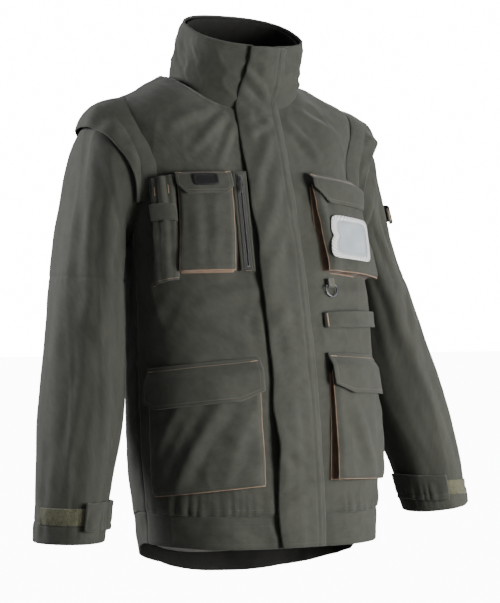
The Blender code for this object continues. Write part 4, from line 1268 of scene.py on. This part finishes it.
def make_flap(name, seed):
    flap = FLAPS[name]
    columns = 72 if name in ("phone", "id") else 104
    s, t = grid(columns, 30)
    mid = flap_at(name, s * FLAP_REACH[name], t)
    span = np.linalg.norm(mid[0, -1] - mid[0, 0])
    ripple = 0.0012 * waves(mid * (1, 1, 0.3), 0.055, seed) * smooth_step(t * 1.4)
    sag = 0.0014 * np.sin(math.pi * s) ** 0.6 * smooth_step(t * 1.2) + 0.0010 * smooth_step(t * 2)
    mid = displaced(mid, np.maximum(ripple + sag, -0.0004) * lerp(1, 0.5, s) - SINK[name] * s * s)
    piece = Piece(f"{name}_flap_cloth")
    layers = piece.cloth(mid, 0.0024, "olive")
    inset, drop = 0.0045 / span, 1 - 0.0045 / flap["height"]
    outline = [(inset, 0.10), (inset, drop), (0.16, drop), (0.84, drop), (1 - inset, drop), (1 - inset, 0.10)]
    stitch_line(piece, layers, outline, material="dull_thread")
    top = 0.0060 / flap["height"]
    stitch_line(piece, layers, [(0.01, top), (0.99, top)], width=0.0007, material="tan_thread")
    for place in (0.045, 0.955):
        tack(piece, layers, (place, top), (0.011, 0.0014))
    middle = mid[0, columns // 2]
    low = middle - (0, 0, 0.009)
    piece.build_sheet(
        "hung", [f"{name}_pocket_front"], nodes=[f"{name}_pocket_flap"], slot="shell_cloth",
        blend=("root", f"{name}_flap_body", tuple(middle), tuple(low)),
    )


def make_badge():
    """A blank moulded rubber badge with a raised rounded border."""
    flap = FLAPS["phone"]
    s, t = grid(48, 32)
    z = lerp(-0.152, -0.169, t)
    across = lerp(0.30, 0.72, s)
    x, y = (s - 0.5) * 2, (t - 0.5) * 2
    reach = (np.abs(x) ** 7 + np.abs(y) ** 7) ** (1 / 7)
    corner = np.clip(reach, 1, None)
    across = 0.51 + (across - 0.51) / corner
    z = -0.1605 + (z + 0.1605) / corner
    base = flap_at("phone", across, (z - flap["z"]) / -flap["height"])
    raised = 0.0006 * hump(reach - 0.88, 0.07)
    mid = displaced(base, CLOTH / 2 + 0.0034 + raised)
    piece = Piece("badge_rubber_plate")
    piece.cloth(mid, 0.0016, "rubber")
    piece.build(body="phone_flap_body", nodes=["rubber_label"], slot="badge_rubber")


def patch(first, last, z, columns, rows, lift, bow, lean=(0.0, 0.0)):
    """A strip of cloth over the body between two angles and two heights, bowed out in its middle."""
    s, t = grid(columns, rows)
    angle, height = lerp(first + lean[0] * t, last + lean[1] * t, s), lerp(z[0], z[1], t)
    return s, t, on_body(angle, height, lift + bow * np.sin(math.pi * s) ** 0.5)


def make_pen_pocket():
    s, t, mid = patch(-66, -47.5, (-0.157, -0.318), 60, 80, 0.0040, 0.009, lean=(-4, -3.5))
    mid[..., 2] += 0.008 * s * (1 - t) + (0.011 * s - 0.004) * t
    flutes = 0.0052 * np.sin(math.pi * (s * 2.7 - 0.2 * t)) ** 2 * np.sin(math.pi * s)
    mid = displaced(mid, flutes * (0.7 + 0.3 * np.cos(3 * t)) + 0.0006 * waves(mid, 0.03, 71))
    piece = Piece("pen_pocket_cloth")
    layers = piece.cloth(mid, CLOTH, "olive")
    for column in (0.30, 0.78):
        stitch_line(piece, layers, [(column, 0.03), (column, 0.96)])
        tack(piece, layers, (column, 0.13), (0.014, 0.0016), upright=True)
    stitch_line(piece, layers, [(0.02, 0.985), (0.98, 0.985)], width=0.0009, material="tan_thread")
    stitch_line(piece, layers, [(0.04, 0.03), (0.96, 0.03)])
    piece.build_sheet("hung", ["front_right_panel"], nodes=["pen_pocket"], slot="shell_cloth")

    _, _, mid = patch(-67, -48.5, (-0.197, -0.222), 50, 14, 0.0105, 0.0100)
    strap = Piece("pen_strap_cloth")
    layers = strap.cloth(mid, CLOTH, "olive")
    stitch_line(strap, layers, [(0.05, 0.14), (0.95, 0.14)])
    stitch_line(strap, layers, [(0.05, 0.86), (0.95, 0.86)])
    strap.build_sheet("hung", ["pen_pocket"], nodes=["pen_pocket_strap"], slot="shell_cloth")


def window_at(s, t, lift):
    across = lerp(0.13 - 0.09 * t, 0.82 - 0.17 * t, s)
    down = lerp(0.37, 0.87, t)
    return pocket_at("id", across, down, pocket_depth("id", across, down) + lift)


def window_shares(u, v, inset):
    """Places on a rounded rectangle with a thumb notch in its left side; u and v run from -1 to 1."""
    reach = np.maximum(np.abs(u), np.abs(v))
    pull = (0.5 - inset) * reach / np.maximum((np.abs(u) ** 8 + np.abs(v) ** 8) ** (1 / 8), 1e-6)
    s, t = 0.5 + pull * u, 0.5 + pull * v
    notch = 0.045 * np.exp(-(((t - 0.5) / 0.08) ** 2)) * np.clip(-u, 0, 1) ** 6
    return s + notch, t


def window_ring(turn, inset):
    x, y = np.cos(turn), np.sin(turn)
    reach = np.maximum(np.abs(x), np.abs(y))
    return window_shares(x / reach, y / reach, inset)


def make_id_window():
    s, t = grid(70, 60)
    film = Piece("id_window_film")
    film.cloth(window_at(*window_shares(2 * s - 1, 2 * t - 1, 0.02), 0.0060), 0.0009, "window")
    film.build_sheet("stretched", ["id_pocket_front"], nodes=["id_window"], slot="clear_plastic")
    rim = Piece("id_window_rim")
    s, t = grid(240, 10, closed=True)
    mid = window_at(*window_ring(2 * math.pi * s, lerp(0.095, 0.0, t)), 0.0068 + 0.0007 * np.sin(math.pi * t))
    rim.cloth(mid, 0.0012, "window_rim", closed=True)
    shares = window_ring(np.linspace(0, 2 * math.pi, 200), 0.15)
    line = window_at(*shares, 0.0068)
    rim.stitches(line, unit(window_at(*shares, 0.0078) - line))
    rim.build(slot="clear_plastic")


def make_side_loop():
    _, _, mid = patch(15.5, 68, (-0.364, -0.387), 80, 14, 0.0045, 0.009)
    mid = displaced(mid, 0.0006 * waves(mid, 0.03, 91))
    piece = Piece("side_loop_cloth")
    layers = piece.cloth(mid, CLOTH, "olive")
    for row in (0.14, 0.86):
        stitch_line(piece, layers, [(0.02, row), (0.98, row)])
    for place in (0.02, 0.98):
        tack(piece, layers, (place, 0.5), (0.021, 0.0026), upright=True)
    piece.build_sheet("hung", ["front_left_panel"], nodes=["side_tool_loop"], slot="shell_cloth")


def make_d_ring():
    angle, height = 21.0, -0.321
    centre = on_body(angle, height, 0.0065)
    along = unit(on_body(angle + 2, height, 0.0065) - on_body(angle - 2, height, 0.0065))
    out = body_normal(angle, level_of(angle, height))
    down = unit(np.cross(along, out))
    down = down if down[2] < 0 else -down
    half, wire = 0.0115, 0.0014
    turn = np.radians(np.linspace(0, 180, 40))[:, None]
    bow = along * (half * np.cos(turn)) + down * (0.004 + 0.014 * np.sin(turn))
    bar = along * np.linspace(0.002 - half, half - 0.002, 12)[:, None]
    ring = Piece("d_ring_metal")
    ring.tube(centre + np.concatenate([bar, bow]), wire, "metal", closed=True, sides=14)
    ring.build(body="d_ring_body", nodes=["d_ring"], slot="dark_metal")
    s, t = grid(40, 8)
    bend = np.radians(lerp(0, 180, np.clip((s - 0.35) / 0.30, 0, 1)))[..., None]
    face = np.cross(along, down)
    face = face if face[1] < 0 else -face
    radius = wire + 0.0012
    rise = (np.maximum(0.35 - s, 0) + np.maximum(s - 0.65, 0))[..., None]
    mid = centre + face * (radius * np.cos(bend)) + down * (radius * np.sin(bend)) - down * (rise * 0.030)
    mid = mid + along * lerp(-0.006, 0.006, t)[..., None]
    tab = Piece("d_ring_tab")
    tab.cloth(mid, 0.0010, "webbing", outward=mid - centre)
    tab.build_sheet("folded", ["front_left_panel"], nodes=["d_ring_webbing"], slot="webbing")


# ---------------------------------------------------------------- chest zip
def slot_frame(upper, lower, across, inner, outer, inset, reach):
    """A long frame round a slot, inner to outer metres wide. inset and reach are shares of its length."""
    s, t = grid(240, 6, closed=True)
    side = np.minimum((s * 4).astype(int), 3)
    f = s * 4 - side
    corners = np.array(((-1, 0), (1, 0), (1, 1), (-1, 1), (-1, 0)), float)
    place = lerp(corners[side], corners[side + 1], f[..., None])
    end = inset - reach * t
    down = lerp(end, 1 - end, place[..., 1])
    aside = place[..., 0] * lerp(inner, outer, t)
    return lerp(upper, lower, down[..., None]) + across * aside[..., None]


def make_chest_zip():
    upper = on_body(CHEST_ZIP["angles"][0], CHEST_ZIP["z"][0], 0.0062)
    lower = on_body(CHEST_ZIP["angles"][1], CHEST_ZIP["z"][1], 0.0062)
    turn = math.radians(CHEST_ZIP["turn"])
    across = np.array((math.cos(turn), math.sin(turn), 0))
    out = unit(np.cross(across, upper - lower))
    out = out if out[1] < 0 else -out

    width = CHEST_ZIP["tape"]
    tape = Piece("chest_zip_woven")
    mid = slot_frame(upper, lower, across, CHEST_ZIP["slot"], width, 0.050, 0.020)
    tape.cloth(mid, 0.0012, "zip_tape", closed=True)
    teeth = Piece("chest_zip_teeth")
    for sign in (-1, 1):
        line = lerp(upper, lower, np.linspace(0.052, 0.948, 60)[:, None]) + across * (sign * 0.0014)
        zip_teeth(teeth, line, across, out, 0.0024, (0.0020, 0.0013, 0.0020))
    stop = lerp(upper, lower, 0.955)
    axes = np.stack([across, out, unit(np.cross(across, out))])
    teeth.block(stop + out * 0.0006, axes, (0.0050, 0.0020, 0.0024), 0.0005, "bright_metal")
    teeth.build(slot="dark_metal")
    tape.build_sheet("stretched", ["front_right_panel"], nodes=["chest_zip_tape"], slot="zip_tape")
    welt = Piece("chest_zip_welt_cloth")
    mid = slot_frame(upper, lower, across, width - 0.0002, width + 0.0052, 0.030, 0.028)
    _, t = grid(240, 6, closed=True)
    mid = mid + out * (0.0008 * np.sin(math.pi * t) - 0.0014)[..., None]
    welt.cloth(mid, CLOTH * 0.5, "olive", closed=True)
    foot = lerp(upper, lower, 1.0) + out * 0.0014
    welt.bartack(foot, across, out, (0.011, 0.0016), "dull_thread")
    welt.build_sheet("stretched", ["front_right_panel"], nodes=["chest_zip_welt"], slot="shell_cloth")
    place = lerp(upper, lower, 0.085)
    make_slider("chest_zip", place, turn, "chest_slider_body", "chest_pull_body", "bright_metal")


# ---------------------------------------------------------------- sleeves
# turn 0 is the outer side, 90 the front, 180 the side towards the body; share runs from shoulder to cuff
FOLD_SHARE = {"right": 0.6, "left": 0.5}
SLEEVE_FOLDS = {
    "right": (
        (30, 0.14, 70, 0.55, 0.014, 0.0050),
        (75, 0.16, 95, 0.60, 0.015, 0.0048),
        (125, 0.18, 118, 0.55, 0.014, 0.0040),
        (170, 0.24, 165, 0.86, 0.034, 0.0085),
        (10, 0.34, 30, 0.85, 0.016, 0.0030),
        (60, 0.60, 48, 0.93, 0.010, 0.0040),
        (95, 0.62, 110, 0.92, 0.010, 0.0035),
        (300, 0.20, 310, 0.80, 0.012, 0.0050),
        (250, 0.25, 240, 0.80, 0.012, 0.0050),
        (160, 0.25, 150, 0.55, 0.009, 0.0030),
    ),
    "left": (
        (40, 0.14, 70, 0.40, 0.010, 0.0050),
        (95, 0.20, 75, 0.46, 0.011, 0.0055),
        (120, 0.22, 105, 0.60, 0.010, 0.0050),
        (60, 0.48, 85, 0.62, 0.010, 0.0060),
        (100, 0.50, 80, 0.90, 0.011, 0.0050),
        (50, 0.60, 55, 0.93, 0.011, 0.0045),
        (135, 0.45, 125, 0.85, 0.010, 0.0040),
        (300, 0.20, 310, 0.80, 0.012, 0.0050),
        (250, 0.25, 240, 0.80, 0.012, 0.0050),
    ),
}
SLEEVE_RADIUS = 0.085
SLEEVE_LENGTH = 0.68


def sleeve_folds(side, degrees, share):
    """Height of the folds of a sleeve: long ones that hang from the cap, and soft swells."""
    turn = np.radians(degrees)
    seed = 200 if side == "right" else 300
    round_it = stack(SLEEVE_RADIUS * np.cos(turn), SLEEVE_RADIUS * np.sin(turn), share * SLEEVE_LENGTH)
    height = 0.0026 * waves(round_it * (1, 1, 0.22), 0.085, seed) - 0.0022
    height = height + 0.0012 * creases(round_it * (1, 1, 0.25), 0.090, seed + 1)
    height = height + 0.0004 * waves(round_it * (1, 1, 0.6), 0.035, seed + 2)
    for first, top, last, foot, width, tall in SLEEVE_FOLDS[side]:
        tall = tall * FOLD_SHARE[side]
        middle = (first + last) / 2
        x = np.radians((degrees - middle + 180) % 360 - 180) * SLEEVE_RADIUS
        ends = [np.radians(a - middle) * SLEEVE_RADIUS for a in (first, last)]
        fold = (ends[0], top * SLEEVE_LENGTH, ends[1], foot * SLEEVE_LENGTH, width, tall)
        height = height + fold_height(x, share * SLEEVE_LENGTH, [fold])
    calm = smooth_step(share / 0.12) * lerp(0.55, 1, smooth_step((0.99 - share) / 0.06))
    inner = 1 - 0.65 * hump(degrees % 360 - 180, 50)
    seams = 0.0012 * (hump(share - ELBOW_SEAM, 0.004) + hump(share - CUFF_SEAM, 0.006))
    puckers = 0.0009 * np.abs(waves(round_it * (1, 1, 0.1), 0.020, seed + 3))
    near_seams = 0.4 * hump(share - ELBOW_SEAM, 0.02) + hump(share - CUFF_SEAM, 0.03)
    return height * calm * inner - seams + puckers * near_seams


def sleeve_grid(side, first, last, lift, columns, rows, fold_share=1.0):
    s, t = grid(columns, rows, closed=True)
    degrees, share = 360 * s, lerp(first, last, t)
    height = sleeve_folds(side, degrees, share) * fold_share
    return on_sleeve(side, degrees, share, lift + height), sleeve_normal(side, degrees, share)


def make_sleeve(side):
    body = f"sleeve_{side}_body"
    mid, outward = sleeve_grid(side, 0.004, CUFF_SEAM - 0.001, 0.0, 150, 190)
    piece = Piece(f"sleeve_{side}_cloth")
    piece.cloth(mid, SHELL, "olive", inside="quilt", closed=True, outward=outward)
    nodes = [f"upper_sleeve_{side}", f"lower_sleeve_{side}"]
    piece.build_sheet("hung", [f"sleeve_{side}_lining"], nodes=nodes, slot="shell_cloth", body=body)
    mid, outward = sleeve_grid(side, CUFF_SEAM, 1.0, 0.0006, 150, 14)
    cuff = Piece(f"cuff_{side}_cloth")
    outer, normal = cuff.cloth(mid, 0.0036, "olive", inside="quilt", closed=True, outward=outward)
    for row in (3, 11):
        ring = np.concatenate([outer[row], outer[row][:1]])
        cuff.stitches(ring, np.concatenate([normal[row], normal[row][:1]]), "olive_thread")
    cuff.build_sheet("hung", [f"lower_sleeve_{side}"], nodes=[f"cuff_{side}"], slot="shell_cloth", body=body)
    mid, outward = sleeve_grid(side, 0.20, 0.93, -0.0085, 90, 90, 0.5)
    lining = Piece(f"sleeve_{side}_lining_cloth")
    lining.cloth(mid, LINING, "quilt", closed=True, outward=outward)
    nodes = [f"sleeve_{side}_lining"]
    lining.build_sheet("hung", [f"upper_sleeve_{side}"], nodes=nodes, slot="lining_cloth", body=body)
    make_cuff_tab(side, body)


def cuff_patch(side, first, last, bottom, top, lift, columns, rows):
    """A patch of the sleeve between two angles and two heights: its shares across, points and normals."""
    s, t = grid(columns, rows)
    degrees = lerp(first, last, s)
    share = share_at(side, degrees, lerp(top, bottom, t))
    height = sleeve_folds(side, degrees, share)
    return s, on_sleeve(side, degrees, share, lift + height), sleeve_normal(side, degrees, share)


def make_cuff_tab(side, body):
    first, last = TAB_ANGLES[side]
    high, low = TAB_HEIGHT[side]
    s, mid, outward = cuff_patch(side, first, last, low, high, 0.0072, 60, 24)
    point = 0.0022 * (1 - s) ** 3
    mid = mid + outward * point[..., None]
    tab = Piece(f"cuff_tab_{side}_cloth")
    layers = tab.cloth(mid, 0.0030, "olive", outward=outward)
    outline = [(0.97, 0.12), (0.05, 0.12), (0.05, 0.88), (0.97, 0.88)]
    stitch_line(tab, layers, outline)
    tack(tab, layers, (0.94, 0.5), (0.024, 0.0016), upright=True)
    middle = mid[12, -1]
    inner = mid[12, -12]
    tab.build_sheet(
        "hung", [f"cuff_loop_tape_{side}"], nodes=[f"cuff_tab_{side}"], slot="shell_cloth",
        blend=(body, f"cuff_tab_{side}_body", tuple(middle), tuple(inner)),
    )
    _, mid, outward = cuff_patch(side, *TAPE_ANGLES[side], low + 0.008, high - 0.008, 0.0034, 60, 16)
    tape = Piece(f"cuff_loop_{side}")
    tape.cloth(mid, 0.0016, "loop", outward=outward)
    nodes = [f"cuff_loop_tape_{side}"]
    tape.build_sheet("stretched", [f"lower_sleeve_{side}"], nodes=nodes, slot="loop_tape", body=body)


def make_armhole_zips(side):
    s, t = grid(160, 6, closed=True)
    turn = 2 * math.pi * s
    edge = armhole_loop(turn)
    inward = lerp(0.0030, 0.0110, t)
    y = ARMHOLE["y"] + (edge[..., 1] - ARMHOLE["y"]) * (1 - inward / ARMHOLE["half_y"])
    z = ARMHOLE["z"] + (edge[..., 2] - ARMHOLE["z"]) * (1 - inward / ARMHOLE["half_z"])
    outward = np.array((SIDES[side], 0.0, 0.0))
    for half, lift, body in (("body", -0.0050, "root"), ("sleeve", -0.0025, f"sleeve_{side}_body")):
        mid = stack(SIDES[side] * (edge[..., 0] + lift), y, z)
        tape = Piece(f"armhole_tape_{half}_{side}")
        tape.cloth(mid, 0.0012, "zip_tape", closed=True, outward=outward)
        ring = np.concatenate([mid[-1], mid[-1][:1]])
        teeth = Piece(f"armhole_teeth_{half}_{side}")
        zip_teeth(teeth, ring, outward, outward, 0.0036, (0.0018, 0.0018, 0.0016))
        teeth.build(body=body, slot="dark_metal")
        tape.build_sheet(
            "stretched", ["back_panel"], nodes=[f"armhole_zip_{half}_{side}"], slot="zip_tape", body=body
        )


# degrees round the sleeve, and sixtieths of the cap's length
CAP_FOLDS = (
    (-60, 12, -52, 60, 9, 0.0022),
    (-25, 6, -20, 60, 9, 0.0020),
    (18, 6, 14, 60, 8, 0.0022),
    (48, 12, 44, 60, 8, 0.0030),
    (74, 12, 70, 60, 7, 0.0026),
)
CAP_PUFF = {"right": 0.0110, "left": 0.0030}


def make_shoulder_cap(side):
    s, t = grid(150, 34)
    degrees = lerp(-108, 108, s)
    reach = lerp(0.045, 0.126, np.cos(np.radians(degrees) * 0.80) ** 2)
    share = lerp(0.012, reach, t)
    folds = fold_height(degrees, t * 60, CAP_FOLDS)
    under = np.maximum(sleeve_folds(side, degrees % 360, share), 0)
    ripple = 0.0012 * waves(stack(np.radians(degrees) * 0.1, 0 * t, 0 * t), 0.05, 401) * t
    puff = CAP_PUFF[side] * np.sin(math.pi * t**0.7) * np.cos(np.radians(degrees) * 0.8) ** 2
    creased = (folds + ripple + 0.0006) * smooth_step(t * 1.5)
    lift = lerp(0.0030, 0.0066, smooth_step(t * 3)) + puff + under + creased
    mid = on_sleeve(side, degrees, share, lift)
    outward = sleeve_normal(side, degrees, share)
    turn = np.radians(degrees)
    y, z = armhole_oval(turn, 0.013)
    out = side_of_body(y[:1], z[:1])
    pad = shoulder_pad(SIDES[side] * out, z[:1]) - 0.0030
    on_shoulder = stack(SIDES[side] * (out + pad), y[:1], z[:1] + pad * np.cos(turn[:1]) * 0.8)
    mid = lerp(on_shoulder, mid, smooth_step(t / 0.22)[..., None])
    mid = mid + outward * (0.0045 * hump(t - 0.13, 0.09))[..., None]
    piece = Piece(f"shoulder_cap_{side}_cloth")
    layers = piece.cloth(mid, 0.0030, "olive", outward=outward)
    stitch_line(piece, layers, [(0.01, 0.86), (0.99, 0.86)])
    piece.build_sheet("hung", [f"upper_sleeve_{side}"], nodes=[f"shoulder_cap_{side}"], slot="shell_cloth")


def make_sleeve_pen_loop():
    s, t = grid(40, 14)
    degrees, share = lerp(26, 40, s), lerp(0.285, 0.315, t)
    lift = 0.0010 + 0.0060 * np.sin(math.pi * s) ** 0.7
    mid = on_sleeve("left", degrees, share, lift)
    piece = Piece("sleeve_loop_cloth")
    layers = piece.cloth(mid, CLOTH, "olive", outward=sleeve_normal("left", degrees, share))
    for place in (0.08, 0.92):
        tack(piece, layers, (place, 0.5), (0.016, 0.0024), upright=True)
    piece.build_sheet(
        "hung", ["upper_sleeve_left"], nodes=["sleeve_pen_loop"], slot="shell_cloth", body="sleeve_left_body"
    )


# ---------------------------------------------------------------- studio
CAMERA_PLACE = (-1.724, -3.302, -0.345)
CAMERA_TURN = -28.0
CAMERA_LENS = 136.2
FLOOR_HEIGHT = -0.7975
FLOOR_REACH = 14
AIM = Vector((-0.01, -0.08, -0.345))
TO_CAMERA = Vector((-0.4695, -0.8829, 0.0))
TO_RIGHT = Vector((0.8829, -0.4695, 0.0))
UP = Vector((0.0, 0.0, 1.0))


def make_camera():
    data = bpy.data.cameras.new("camera")
    data.sensor_fit = "VERTICAL"
    data.sensor_height = 36
    data.lens = CAMERA_LENS
    camera = bpy.data.objects.new("camera", data)
    camera.location = CAMERA_PLACE
    camera.rotation_euler = (math.radians(90), 0, math.radians(CAMERA_TURN))
    bpy.context.scene.collection.objects.link(camera)
    bpy.context.scene.camera = camera


def make_light(name, right, ahead, up, size, power, colour=(1, 1, 1)):
    """A soft area light, placed from the aim point to the right, towards the camera and up."""
    data = bpy.data.lights.new(name, "AREA")
    data.shape = "DISK"
    data.size = size
    data.energy = power
    data.color = colour
    light = bpy.data.objects.new(name, data)
    light.location = AIM + TO_RIGHT * right + TO_CAMERA * ahead + UP * up
    light.rotation_euler = (AIM - light.location).to_track_quat("-Z", "Y").to_euler()
    bpy.context.scene.collection.objects.link(light)


def make_floor():
    """A wide square floor that glows white to the camera only."""
    s, t = grid(16, 16)
    points = stack((2 * s - 1) * FLOOR_REACH, (2 * t - 1) * FLOOR_REACH, FLOOR_HEIGHT).reshape(-1, 3)
    faces, _, _ = grid_faces(*s.shape, False)
    mesh = bpy.data.meshes.new("floor")
    mesh.from_pydata(points.tolist(), [], faces.tolist())
    mesh.shade_smooth()
    shader = Shader("studio_floor")
    cloud = shader.noise(0.5, 2)
    colour = shader.mix(cloud, (0.24, 0.24, 0.24, 1), (0.28, 0.28, 0.28, 1))
    roughness = shader.spread(cloud, 0.3, 0.7, 0.85, 0.95)
    shader.finish(colour, roughness, cloud, 0.0001)
    shader.principled.inputs["Emission Color"].default_value = (1, 1, 1, 1)
    seen = shader.add("ShaderNodeLightPath").outputs["Is Camera Ray"]
    glow = shader.maths("MULTIPLY", seen, 12.0)
    shader.tree.links.new(glow, shader.principled.inputs["Emission Strength"])
    mesh.materials.append(shader.material)
    floor = bpy.data.objects.new("floor", mesh)
    bpy.context.scene.collection.objects.link(floor)


def make_world():
    """White to the camera, and a dimmer even light on the jacket."""
    world = bpy.data.worlds.new("studio")
    world.use_nodes = True
    nodes, links = world.node_tree.nodes, world.node_tree.links
    background = nodes["Background"]
    path = nodes.new("ShaderNodeLightPath")
    bright = nodes.new("ShaderNodeBackground")
    mixer = nodes.new("ShaderNodeMixShader")
    background.inputs["Color"].default_value = (0.92, 0.95, 1.0, 1)
    background.inputs["Strength"].default_value = 0.10
    bright.inputs["Color"].default_value = (1, 1, 1, 1)
    bright.inputs["Strength"].default_value = 16.0
    links.new(path.outputs["Is Camera Ray"], mixer.inputs[0])
    links.new(background.outputs[0], mixer.inputs[1])
    links.new(bright.outputs[0], mixer.inputs[2])
    links.new(mixer.outputs[0], nodes["World Output"].inputs["Surface"])
    bpy.context.scene.world = world


def make_studio():
    make_camera()
    make_floor()
    make_world()
    make_light("key", 1.7, 1.3, -0.05, 1.0, 92, (1.0, 0.985, 0.96))
    make_light("fill", -1.2, 2.8, 0.6, 1.8, 5)
    make_light("rim_left", -2.3, -0.4, 0.8, 1.0, 95)
    make_light("left_low", 2.6, -0.2, -0.1, 1.0, 45)
    make_light("top", 0.4, 0.6, 2.4, 1.4, 14)


# ---------------------------------------------------------------- assembly
def main():
    make_body()
    make_lining()
    make_collar()
    make_front_zip()
    make_storm_flap()
    make_storm_tapes()
    for seed, name in enumerate(POCKETS):
        make_pocket(name, 100 + 10 * seed)
        make_flap(name, 150 + 10 * seed)
    make_badge()
    make_pen_pocket()
    make_id_window()
    make_side_loop()
    make_d_ring()
    make_chest_zip()
    for side in SIDES:
        make_sleeve(side)
        make_armhole_zips(side)
        make_shoulder_cap(side)
    make_sleeve_pen_loop()
    make_studio()


main()
